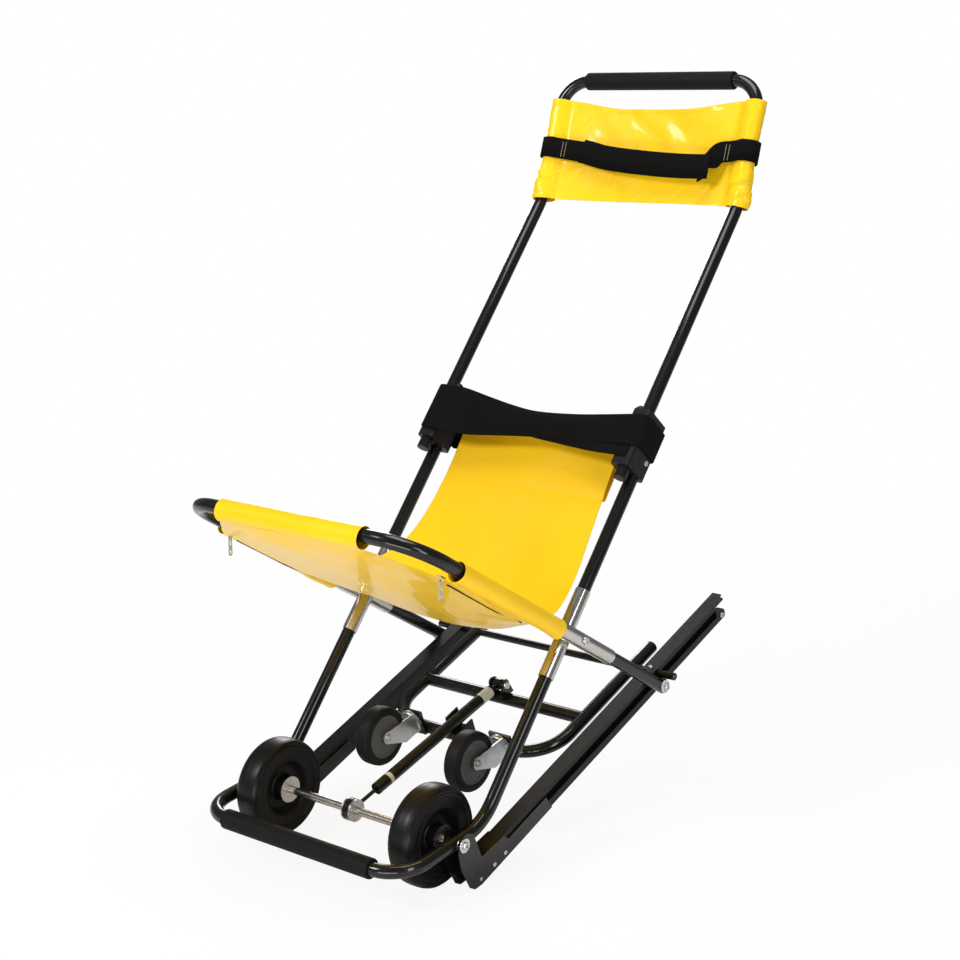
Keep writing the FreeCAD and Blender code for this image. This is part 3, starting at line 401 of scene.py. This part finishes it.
MATERIALS = {
    "black_paint": gloss_paint(),
    "chrome": chrome(),
    "foam": foam(),
    "black_plastic": nylon(),
    "steel": bright_steel(),
    "zinc": zinc(),
    "axle_steel": turned_steel(),
    "elastic": elastic(),
    "vinyl": vinyl("yellow_vinyl", 0.0006),
    "webbing": webbing(),
    "wheel_plastic": wheel_plastic(),
    "wheel_rubber": tyre_rubber(),
    "caster_plastic": caster_plastic(),
    "caster_rubber": caster_rubber(),
    "rail_aluminium": rail_metal(),
    "belt_rubber": ribbed_rubber(),
    "spacer": pale_nylon(),
}
CRUMPLED = vinyl("crumpled_vinyl", 0.0028)
THREAD = thread()
LABEL = label_film()


def finish_cad_nodes():
    slots = {part["node"]: part["material_slot"] for part in frame["record"]["subparts"]}
    for name, node in NODES.items():
        node.data.materials.clear()
        node.data.materials.append(MATERIALS[slots[name]])


# ---------------------------------------------------------------- mesh helpers

def new_piece(name, vertices, faces, body, material):
    """A smooth mesh in a material; body is None for a piece that is left unattached."""
    mesh = bpy.data.meshes.new(name)
    mesh.from_pydata([tuple(v) for v in vertices], [], faces)
    mesh.materials.append(material)
    mesh.shade_smooth()
    piece = bpy.data.objects.new(name, mesh)
    bpy.context.scene.collection.objects.link(piece)
    if body:
        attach(piece, body)
    return piece


def grid_faces(rows, columns, closed=False, first=0):
    """Quads of a grid of vertices laid out row by row; closed joins each row's ends."""
    faces = []
    last = columns if closed else columns - 1
    for i in range(rows - 1):
        for j in range(last):
            k = (j + 1) % columns
            faces.append((first + i * columns + j, first + i * columns + k,
                          first + (i + 1) * columns + k, first + (i + 1) * columns + j))
    return faces


def apply_modifiers(piece):
    bpy.context.view_layer.update()
    shown = piece.evaluated_get(bpy.context.evaluated_depsgraph_get())
    mesh = bpy.data.meshes.new_from_object(shown)
    piece.modifiers.clear()
    piece.data = mesh


def thicken(piece, thickness):
    """Gives a sheet its thickness, half to each side, and one smoothing subdivision."""
    solid = piece.modifiers.new("thickness", "SOLIDIFY")
    solid.thickness = thickness
    solid.offset = 0.0
    solid.use_even_offset = True
    smooth = piece.modifiers.new("smooth", "SUBSURF")
    smooth.levels = 1
    smooth.render_levels = 1
    apply_modifiers(piece)


def smooth_path(points, steps):
    """A Catmull-Rom curve through points of any length, with steps samples."""
    count = len(points) - 1
    out = []
    for i in range(steps):
        t = i / (steps - 1) * count
        k = min(int(t), count - 1)
        f = t - k
        p = [points[max(0, min(count, k + d))] for d in (-1, 0, 1, 2)]
        value = []
        for a, b, c, d in zip(*p):
            value.append(0.5 * (2 * b + (c - a) * f + (2 * a - 5 * b + 4 * c - d) * f * f
                                + (3 * b - a - 3 * c + d) * f ** 3))
        out.append(tuple(value))
    return out


def between(stations, x):
    """The value at x of a smooth curve through (x, value) stations."""
    last = len(stations) - 1
    x = max(stations[0][0], min(stations[-1][0], x))
    k = max(i for i in range(last) if stations[i][0] <= x)

    def slope(i):
        (x0, y0), (x1, y1) = stations[max(i - 1, 0)], stations[min(i + 1, last)]
        return (y1 - y0) / (x1 - x0)

    (x0, y0), (x1, y1) = stations[k], stations[k + 1]
    run = x1 - x0
    t = (x - x0) / run
    return ((2 * t ** 3 - 3 * t ** 2 + 1) * y0 + (t ** 3 - 2 * t ** 2 + t) * run * slope(k)
            + (3 * t ** 2 - 2 * t ** 3) * y1 + (t ** 3 - t ** 2) * run * slope(k + 1))


def ease(value, low, high):
    """0 below low, 1 above high, and smooth between."""
    t = max(0.0, min(1.0, (value - low) / (high - low)))
    return t * t * (3 - 2 * t)


def wrinkle(point, size, seed):
    """Fixed smooth noise from about -1 to 1, with waves of a size in metres."""
    return noise.noise(Vector(point) / size + Vector((seed, seed * 1.7, seed * 0.3)))


def stitches(name, path, body, material, length=0.0032, gap=0.0016, radius=0.00035):
    """A row of short raised threads, evenly spaced along a path of points."""
    reach = [0.0]
    for a, b in zip(path, path[1:]):
        reach.append(reach[-1] + (b - a).length)

    def along(distance):
        for k in range(1, len(path)):
            if distance <= reach[k]:
                share = (distance - reach[k - 1]) / (reach[k] - reach[k - 1])
                return path[k - 1].lerp(path[k], share)
        return path[-1]

    vertices, faces = [], []
    sides = 6
    profile = ((0.0, 0.35), (0.25, 1.0), (0.75, 1.0), (1.0, 0.35))
    for i in range(int(reach[-1] / (length + gap))):
        start = along(i * (length + gap))
        run = along(i * (length + gap) + length) - start
        side = run.orthogonal().normalized()
        other = run.normalized().cross(side)
        first = len(vertices)
        for share, width in profile:
            for k in range(sides):
                turn = 2 * math.pi * k / sides
                out = side * math.cos(turn) + other * math.sin(turn)
                vertices.append(start + run * share + out * radius * width)
        faces += grid_faces(4, sides, closed=True, first=first)
        faces.append(tuple(first + k for k in reversed(range(sides))))
        faces.append(tuple(first + 3 * sides + k for k in range(sides)))
    return new_piece(name, vertices, faces, body, material)


# ---------------------------------------------------------------- headrest

HEAD_LOW = -4.0
HEAD_HIGH = 184.0
HEM = 12.0
HEM_EDGE = 6.0
TOP_DIP = 15.0
PANEL_BOW = 8.0
SEAM_X = 183.0
SLEEVE_R = 14.5
CLOTH = 1.1 * MM
STRAP_LOW = 70.0
STRAP_HIGH = 114.0


def head_section():
    """(x, off) points of one sleeve, from the seam behind, round the tube, to the front."""
    steps = 16
    turns = [math.radians(-95 + 190 * i / steps) for i in range(steps + 1)]
    tube_x = LEG_X / MM
    wrap = [(tube_x + SLEEVE_R * math.cos(a), SLEEVE_R * math.sin(a)) for a in turns]
    behind = [(SEAM_X, -2.2), (SEAM_X + 7, -7.0), (SEAM_X + 15, -12.5)]
    front = [(SEAM_X + 15, 11.5), (SEAM_X + 9, 7.0), (SEAM_X + 4, 2.6), (SEAM_X, 0.8)]
    return behind + wrap + front


def headrest():
    """One sheet of coated cloth, whose ends go round the side tubes and are sewn behind."""
    rows = 84
    section = head_section()
    span = 48
    middle = [(-SEAM_X + 2 * SEAM_X * i / span, 0.0) for i in range(1, span)]
    ring = [(-x, off) for x, off in section] + middle + section[::-1]
    vertices = []
    for i in range(rows):
        f = i / (rows - 1)
        along = HEAD_LOW + (HEAD_HIGH - HEAD_LOW) * f
        hem = ease(along, HEAD_LOW + HEM + HEM_EDGE, HEAD_LOW + HEM)
        hem += ease(along, HEAD_HIGH - HEM, HEAD_HIGH - HEM + HEM_EDGE)
        for x, off in ring:
            inside = 1 - ease(abs(x), 60, 200)
            dip = TOP_DIP * inside * f ** 3
            drop = 3 * ease(abs(x), 185, 225) * (1 - f) ** 2
            bow = -PANEL_BOW * inside * math.sin(math.pi * f) + 1.5 * math.sin(x * 0.021 + along * 0.03)
            place = head(along - dip - drop, off + bow, x)
            ridge = ((place.x + place.z) * 1.5, 0, (place.x - place.z) * 0.45)
            crease = wrinkle(ridge, 0.055, 3.1) * 2.4 * inside
            place += HEAD_OUT * (crease + 0.4 * hem * inside) * MM
            if abs(x) > SEAM_X:
                centre = head(along, 0, math.copysign(LEG_X / MM, x))
                away = place - centre
                away -= HEAD_UP * away.dot(HEAD_UP)
                loose = ease(STRAP_LOW - along, 0, 26)
                loose += 0.12 * ease(along, STRAP_HIGH, STRAP_HIGH + 16)
                ruck = wrinkle((place.x, place.y, place.z), 0.02, 8.2) * (0.9 + 4.5 * loose)
                fold = wrinkle((place.x, place.y * 2, place.z * 2.4), 0.024, 6.6) * 3.0 * loose
                crinkle = 0.35 - abs(wrinkle((place.x * 1.6, place.y, place.z * 1.6), 0.016, 9.4))
                out = 0.6 + abs(ruck) + abs(fold) + 3.2 * max(crinkle, 0) * loose
                place += away.normalized() * out * MM
            vertices.append(place)
    cover = new_piece("headrest_cover", vertices, grid_faces(rows, len(ring)),
                      "handle_frame", CRUMPLED)
    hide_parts("headrest_panel")
    thicken(cover, CLOTH)
    for side, word in ((-1, "left"), (1, "right")):
        path = [head(2 + 176 * i / 40, 1.7 + 1.5 * math.sin(side * 3.8 + i * 0.13), side * SEAM_X)
                for i in range(41)]
        stitches(f"headrest_seam_{word}", path, "handle_frame", MATERIALS["vinyl"],
                 0.0035, 0.0015, 0.0004)


def strap_mesh(name, stations, width, thick, steps):
    """A flat strap through stations of (x, along, off, lean), drawn in the head's frame."""
    path = smooth_path(stations, steps)
    outline = ((-1, -1), (-0.97, 1), (0, 1.15), (0.97, 1), (1, -1), (0, -1.15))
    count = len(outline)
    vertices = []
    for i, (x, along, off, lean) in enumerate(path):
        ahead = path[min(i + 1, steps - 1)]
        behind = path[max(i - 1, 0)]
        run = head(ahead[1], ahead[2], ahead[0]) - head(behind[1], behind[2], behind[0])
        run.normalize()
        up = (HEAD_UP + HEAD_OUT * lean).normalized()
        up = (up - run * up.dot(run)).normalized()
        outward = run.cross(up).normalized()
        middle = head(along, off, x)
        half = width / 2 * MM
        for u, w in outline:
            vertices.append(middle + up * u * half + outward * w * thick / 2 * MM)
    faces = grid_faces(steps, count, closed=True)
    faces.append(tuple(reversed(range(count))))
    faces.append(tuple((steps - 1) * count + k for k in range(count)))
    return new_piece(name, vertices, faces, "handle_frame", MATERIALS["webbing"])


STRAP_OFF = 11.0
STRAP_ALONG = 92.0
STRAP_WIDTH = 38
LONG_STRAP_WIDTH = 44


def sleeve_wrap(side):
    """Stations that carry a strap from behind a sleeve, round it, to its sewn front end."""
    out = []
    radius = SLEEVE_R + 4.4
    for angle in (-105, -70, -35, 0, 30, 55):
        a = math.radians(angle)
        out.append((side * (LEG_X / MM + radius * math.cos(a)), STRAP_ALONG,
                    radius * math.sin(a), 0.0))
    out.append((side * 205, STRAP_ALONG, radius - 0.5, 0.0))
    out.append((side * 192, STRAP_ALONG - 1, STRAP_OFF + 2.5, 0.0))
    out.append((side * 178, STRAP_ALONG - 2, STRAP_OFF, 0.0))
    out.append((side * 160, STRAP_ALONG - 4, STRAP_OFF - 1, 0.0))
    return out


def head_straps():
    """A strap end is sewn at each sleeve; the long one laps over the short one."""
    anchor = sleeve_wrap(-1) + [(-138, 86, 8, 0.0), (-118, 83, 8, 0.0)]
    strap_mesh("head_strap_anchor", anchor, STRAP_WIDTH, 1.8, 70)
    long_way = [(-134, 86, 11.5, 0.0), (-110, 81, 13, 0.0), (-80, 74, 16, 0.05),
                (-30, 67, 22, 0.1), (40, 61, 26, 0.1), (100, 59, 25, 0.05), (150, 60, 22, 0.0)]
    long_strap = strap_mesh("head_strap_long", long_way, LONG_STRAP_WIDTH, 2.2, 70)
    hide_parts("head_strap")
    short_way = sleeve_wrap(1) + [(150, 76, 12, -0.2), (143, 62, 17, -0.4), (138, 50, 19, -0.5),
                                  (130, 46, 19, -0.5)]
    strap_mesh("head_strap_short", short_way, STRAP_WIDTH, 1.8, 80)
    for side, word in ((-1, "left"), (1, "right")):
        for k, x in enumerate((172, 179)):
            off = STRAP_OFF + 1.35 if k else STRAP_OFF + 1.0
            path = [head(STRAP_ALONG - 18 + 33 * i / 12, off, side * x) for i in range(13)]
            stitches(f"strap_thread_{word}_{k}", path, "handle_frame", THREAD,
                     0.003, 0.0012, 0.00045)


# ---------------------------------------------------------------- back belt

BELT_TOP = ((-217, 772), (-166, 770), (-104, 759), (-49, 749), (0, 743), (64, 745), (145, 753),
            (217, 762))
BELT_BOTTOM = ((-217, 682), (-145, 679), (-59, 688), (18, 695), (99, 698), (217, 703))
PLY_BOTTOM = ((-10, 699), (18, 695), (99, 688), (158, 682), (217, 681))
SCREW_CLEAR = 707.0


def belt_piece(name, ring, bottom, back, thickness, sides=True):
    """A band of elastic along a ring of (x, w) points, between the belt's two edges."""
    tall = 16
    vertices = []
    for x, w in ring:
        top = between(BELT_TOP, x)
        low = between(bottom, x)
        if sides and abs(x) > 210:
            low += (SCREW_CLEAR - low) * (1 - ease(w, -14, 3))
        for j in range(tall):
            f = j / (tall - 1)
            v = low + (top - low) * f
            mid = 1 - ease(abs(x), 90, 190)
            roll = 4.5 * mid * math.sin(math.pi * (f - 0.3) * 1.4)
            crease = 1.6 * math.exp(-((f - 0.45 - 0.0012 * x) / 0.07) ** 2) * ease(x, 10, 90)
            crease *= 1 - ease(x, 180, 210)
            vertices.append(leg(v, w + roll - 3.5 * mid + crease - back, x))
    belt = new_piece(name, vertices, grid_faces(len(ring), tall), "main_frame",
                     MATERIALS["elastic"])
    thicken(belt, thickness * MM)
    return belt


def back_belt():
    """A loop of wide elastic round both guide blocks, narrow where it twists in the middle."""
    block_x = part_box("guide_blocks")[1].x / MM
    gap = 2.2
    around = [(178, -63.6), (200, -63.8), (block_x - 4, -63.8), (block_x + gap - 0.4, -61)]
    around += [(block_x + gap, w) for w in (-54, -40, -26, -12)]
    around += [(block_x + gap - 0.4, -2), (block_x - 3, 4.6), (block_x - 12, 5.8)]
    front = [(205 - 410 * i / 44, 5.9) for i in range(45)]
    ring = around + front + [(-x, w) for x, w in reversed(around)]
    belt = belt_piece("back_belt_elastic", ring, BELT_BOTTOM, 0.0, 2.0)
    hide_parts("back_belt")
    under = [(215 - 215 * i / 24, 5.9) for i in range(25)]
    belt_piece("back_belt_under_ply", under, PLY_BOTTOM, 2.3, 1.6, sides=False)


# ---------------------------------------------------------------- the sling

SEAM_V = 622.0
SLING_CLOTH = 1.2 * MM


def sling_stations():
    """Pairs of (middle, edge) points down the back and forward under the seat."""
    def on_leg(v, w, x):
        return tuple(leg(v, w, x))

    def on_seat(s, n, x):
        return tuple(seat(s, n, x))

    return [
        (on_leg(737, -35.2, 0), on_leg(737, -35.2, 168)),
        (on_leg(706, -43, 0), on_leg(706, -43, 167)),
        (on_leg(640, -50, 0), on_leg(640, -50, 168)),
        (on_leg(560, -55, 0), on_leg(556, -53, 174)),
        (on_leg(490, -57, 0), on_leg(487, -46, 185)),
        (on_leg(425, -55, 0), on_leg(434, -22, 202)),
        (on_seat(0, -6, 0), on_seat(-56, 23, 221)),
        (on_seat(-42, -24, 0), on_seat(-88, 6, 225)),
        (on_seat(-105, -28, 0), on_seat(-135, -13, 230)),
        (on_seat(-210, -28, 0), on_seat(-215, -18, 237)),
        (on_seat(-330, -27, 0), on_seat(-335, -18, 237)),
        (on_seat(-405, -25, 0), on_seat(-402, -18, 190)),
        (on_seat(-455, -20, 0), on_seat(-452, -19, 146)),
    ]


def sling():
    """The hammock of coated cloth: one sheet from the back bar to the seat's front bar."""
    stations = [tuple(m) + tuple(e) for m, e in sling_stations()]
    rows, columns = 150, 57
    vertices = []
    for i, row in enumerate(smooth_path(stations, rows)):
        middle, edge = Vector(row[:3]), Vector(row[3:])
        f = i / (rows - 1)
        for j in range(columns):
            c = -1 + 2 * j / (columns - 1)
            share = abs(c) ** 2.3
            place = middle.lerp(edge, share)
            place.x = edge.x * c
            crumple = wrinkle(place, 0.09, 1.3) * 2.2 + wrinkle(place, 0.2, 5.7) * 5.0
            under = ease(f, 0.45, 0.6)
            pull = wrinkle((place.x * 1.8, place.y * 0.4, place.z * 0.4), 0.09, 2.2)
            crumple += pull * (0.8 + 1.2 * under)
            calm = ease(f, 0.0, 0.12) * (1 - ease(f, 0.92, 1.0)) * (1 - abs(c) ** 4)
            height = (place - AXLE).dot(LEG_UP) / MM
            seam = -1.3 * math.exp(-((height - SEAM_V) / 5) ** 2) * (1 - under)
            outward = LEG_OUT.lerp(SEAT_OUT, ease(f, 0.4, 0.6)).normalized()
            vertices.append(place + outward * (crumple * calm + seam) * MM)
    sheet = new_piece("sling_sheet", vertices, grid_faces(rows, columns),
                      None, MATERIALS["vinyl"])
    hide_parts("back_sheet", "seat_sheet")
    thicken(sheet, SLING_CLOTH)
    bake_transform(sheet)


def sling_back_ply():
    """The sheet's top end goes over the back bar and is sewn down behind the front ply."""
    stations = ((737, -35.2, 168), (744, -37.6, 168), (747.2, -44.5, 168), (744, -51.4, 168),
                (737, -53.9, 168), (700, -56, 168), (660, -57.5, 169), (SEAM_V, -57.5, 171))
    rows, columns = 44, 41
    vertices = []
    for i, (v, w, half) in enumerate(smooth_path(stations, rows)):
        f = i / (rows - 1)
        for j in range(columns):
            c = -1 + 2 * j / (columns - 1)
            x = half * c
            loose = wrinkle((x * MM, v * MM, 0), 0.06, 4.4) * 2.0 * ease(f, 0.6, 0.8)
            loose *= 1 - ease(f, 0.9, 1.0)
            vertices.append(leg(v, w - abs(loose), x))
    ply = new_piece("sling_back_ply", vertices, grid_faces(rows, columns),
                    "main_frame", MATERIALS["vinyl"])
    thicken(ply, SLING_CLOTH)


def sleeve(name, path, sizes, droop, seed):
    """A sewn tube of cloth round a frame tube, hanging droop millimetres below it."""
    steps = len(path)
    around = 28
    vertices = []
    for i, centre in enumerate(path):
        ahead = path[min(i + 1, steps - 1)]
        behind = path[max(i - 1, 0)]
        run = (Vector(ahead) - Vector(behind)).normalized()
        up = (SEAT_OUT - run * SEAT_OUT.dot(run)).normalized()
        side = run.cross(up).normalized()
        end = min(i, steps - 1 - i) / (steps - 1)
        flare = 1.0 + 0.05 * (1 - ease(end, 0.0, 0.05))
        for k in range(around):
            angle = 2 * math.pi * k / around
            c, s = math.cos(angle), math.sin(angle)
            wide = sizes[0] * c
            tall = sizes[1] * s
            low = ease(-s, 0.2, 1.0)
            place = Vector(centre) + side * wide * flare * MM + up * (tall * flare - droop) * MM
            crease = wrinkle(place, 0.035, seed) * (0.4 + 1.0 * low)
            crease += wrinkle((place.x, place.y * 0.5, place.z), 0.011, seed + 4) * 0.25
            away = (side * c + up * s).normalized()
            vertices.append(place + away * crease * MM)
    tube = new_piece(name, vertices, grid_faces(steps, around, closed=True),
                     "seat_frame", MATERIALS["vinyl"])
    thicken(tube, CLOTH)


def seat_sleeves():
    """Sleeves round the seat's side tubes and front bar, and a zip under each side."""
    steps = 64
    for side, word in ((-1, "left"), (1, "right")):
        x = side * SEAT_X / MM
        path = [seat(-348 + 286 * i / (steps - 1), 0, x) for i in range(steps)]
        sleeve(f"sling_sleeve_{word}", path, (14.8, 15.4), 2.2, 11 + side)
        hem = []
        for i in range(61):
            along = -332 + 202 * i / 60
            hem.append(seat(along, -21.2 + 4.5 * ease(along, -215, -130), side * 218))
        zip_line(f"zip_line_{word}", hem)
    front = front_bar_middle()
    path = [front + Vector(((-146 + 292 * i / (steps - 1)) * MM, 0, 0)) for i in range(steps)]
    sleeve("sling_sleeve_front", path, (15.2, 16.6), 3.0, 21)


def front_bar_middle():
    """The middle of the seat's front bar, from the seat tube's box."""
    low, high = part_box("seat_tube")
    top = Vector((0, low.y + TUBE_R, high.z - TUBE_R))
    reach = (top - PIVOT).dot(SEAT_BACK)
    return PIVOT + SEAT_BACK * reach


def zip_line(name, path):
    """A closed zip seen edge on: a dark beaded line along the sleeve's seam."""
    vertices, faces = [], []
    around = 8
    for i, point in enumerate(path):
        for k in range(around):
            angle = 2 * math.pi * k / around
            radius = (0.9 + 0.25 * (i % 2)) * MM
            vertices.append(Vector(point) + Vector((math.cos(angle), 0, 0)) * radius
                            + SEAT_OUT * math.sin(angle) * radius)
    faces = grid_faces(len(path), around, closed=True)
    faces.append(tuple(reversed(range(around))))
    faces.append(tuple((len(path) - 1) * around + k for k in range(around)))
    new_piece(name, vertices, faces, "seat_frame", MATERIALS["webbing"])


# ---------------------------------------------------------------- tyre ribs

RIB_SHARES = (0.8, 0.86, 0.92)
RIB_R = 0.75 * MM


def rib_ring(vertices, faces, centre, radius):
    """Adds a thin ring of round section, about an axis along X."""
    around, sides = 120, 8
    first = len(vertices)
    for i in range(around):
        turn = 2 * math.pi * i / around
        out = Vector((0, math.cos(turn), math.sin(turn)))
        for k in range(sides):
            angle = 2 * math.pi * k / sides
            away = out * math.cos(angle) + Vector((math.sin(angle), 0, 0))
            vertices.append(centre + out * radius + away * RIB_R)
    faces += grid_faces(around, sides, closed=True, first=first)
    last = first + (around - 1) * sides
    for k in range(sides):
        n = (k + 1) % sides
        faces.append((last + k, last + n, first + n, first + k))


def tyre_ribs():
    """Fine moulded ribs that run round both walls of each big tyre."""
    for word in ("left", "right"):
        tyre = NODES[f"{word}_wheel_tyre"]
        low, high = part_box(f"{word}_wheel_tyre")
        wheel_r = (high.z - low.z) / 2
        middle_x = (low.x + high.x) / 2
        vertices, faces = [], []
        for wall in (-1, 1):
            for share in RIB_SHARES:
                start = Vector((middle_x + wall * wheel_r, AXLE.y, AXLE.z + share * wheel_r))
                hit, place, _, _ = tyre.ray_cast(start, Vector((-wall, 0, 0)))
                if not hit:
                    raise RuntimeError(f"no tyre wall at {share} of the radius")
                rib_ring(vertices, faces, Vector((place.x, AXLE.y, AXLE.z)), share * wheel_r)
        new_piece(f"{word}_tyre_ribs", vertices, faces, f"{word}_wheel",
                  MATERIALS["wheel_rubber"])


# ---------------------------------------------------------------- strut details

def strut_details():
    """A rod seal in the cylinder's mouth, and two blank labels round the cylinder."""
    pin = node_middle("strut_bolt")
    pin.x = 0
    along = (pin - AXLE).normalized()
    side = Vector((1, 0, 0))
    other = along.cross(side)

    def ring(distance, radius, count=40):
        centre = AXLE + along * distance * MM
        return [centre + (side * math.cos(2 * math.pi * k / count)
                          + other * math.sin(2 * math.pi * k / count)) * radius * MM
                for k in range(count)]

    barrel_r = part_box("strut_cylinder")[1].x / MM
    seal = [ring(d, r) for d, r in ((61.5, 3.5), (60.4, 3.7), (60.0, 4.4), (60.2, 6.0),
                                    (60.6, barrel_r - 0.9), (61.5, barrel_r - 0.7),
                                    (66.0, barrel_r - 0.7), (66.0, 3.5), (61.5, 3.5))]
    vertices = [v for r in seal for v in r]
    new_piece("strut_seal", vertices, grid_faces(len(seal), 40, closed=True),
              "strut_barrel", MATERIALS["black_plastic"])
    for word, low, high in (("lower", 86.0, 94.0), ("upper", 334.0, 362.0)):
        bands = [ring(distance, barrel_r + 0.15) for distance in (low, high)]
        new_piece(f"strut_label_{word}", [v for band in bands for v in band],
                  grid_faces(2, 40, closed=True), "strut_barrel", LABEL)


# ---------------------------------------------------------------- studio

# name, place, width and height of the panel in metres, and power in watts
LAMPS = (("key", (-1.4, -3.0, 2.6), (1.0, 1.0), 76),
         ("fill", (3.2, -1.4, 1.5), (0.8, 2.4), 45),
         ("top", (0.2, 0.0, 3.4), (1.8, 1.8), 60),
         ("bounce", (0.7, -2.4, 0.12), (1.8, 0.25), 19),
         ("rear", (-2.4, 2.4, 1.8), (0.7, 2.0), 40))
LAMP_TARGET = Vector((0, 0, 0.55))


def floor():
    bpy.ops.mesh.primitive_plane_add(size=60, location=(0, 0, CAD_BOX[0].z - 0.5 * MM))
    plane = bpy.context.object
    plane.name = "studio_floor"
    plane.data.materials.append(floor_paint())


def sky():
    """A dim pale room for the light, which the camera sees as pure white."""
    world = bpy.data.worlds.new("studio")
    bpy.context.scene.world = world
    world.use_nodes = True
    tree = world.node_tree
    background = tree.nodes["Background"]
    background.inputs["Color"].default_value = (0.95, 0.97, 1.0, 1)
    background.inputs["Strength"].default_value = 0.2
    seen = tree.nodes.new("ShaderNodeBackground")
    seen.inputs["Color"].default_value = (1, 1, 1, 1)
    path = tree.nodes.new("ShaderNodeLightPath")
    mix = tree.nodes.new("ShaderNodeMixShader")
    tree.links.new(path.outputs["Is Camera Ray"], mix.inputs[0])
    tree.links.new(background.outputs[0], mix.inputs[1])
    tree.links.new(seen.outputs[0], mix.inputs[2])
    tree.links.new(mix.outputs[0], tree.nodes["World Output"].inputs["Surface"])


def lamps():
    """Large soft panels that all face the middle of the chair."""
    for name, place, size, power in LAMPS:
        light = bpy.data.lights.new(name, "AREA")
        light.shape = "RECTANGLE"
        light.size, light.size_y = size
        light.energy = power
        lamp = bpy.data.objects.new(name, light)
        lamp.location = place
        lamp.rotation_euler = (LAMP_TARGET - Vector(place)).to_track_quat("-Z", "Y").to_euler()
        bpy.context.scene.collection.objects.link(lamp)


VIEW_AZIMUTH = math.radians(38.78)
VIEW_ELEVATION = math.radians(11.753)
VIEW_DISTANCE = 2.8695
VIEW_TARGET = AXLE + Vector((0.091, 0.208, 0.509))
LENS = 68.22


def camera():
    azimuth, elevation = VIEW_AZIMUTH, VIEW_ELEVATION
    away = Vector((math.sin(azimuth) * math.cos(elevation),
                   -math.cos(azimuth) * math.cos(elevation), math.sin(elevation)))
    data = bpy.data.cameras.new("camera")
    data.lens = LENS
    data.clip_end = 100
    view = bpy.data.objects.new("camera", data)
    view.location = VIEW_TARGET + away * VIEW_DISTANCE
    view.rotation_euler = (math.pi / 2 - elevation, 0, azimuth)
    bpy.context.scene.collection.objects.link(view)
    bpy.context.scene.camera = view
    bpy.context.scene.view_settings.view_transform = "Standard"


# ---------------------------------------------------------------- the scene


finish_cad_nodes()
headrest()
head_straps()
back_belt()
sling()
sling_back_ply()
seat_sleeves()
tyre_ribs()
strut_details()
floor()
sky()
lamps()
camera()
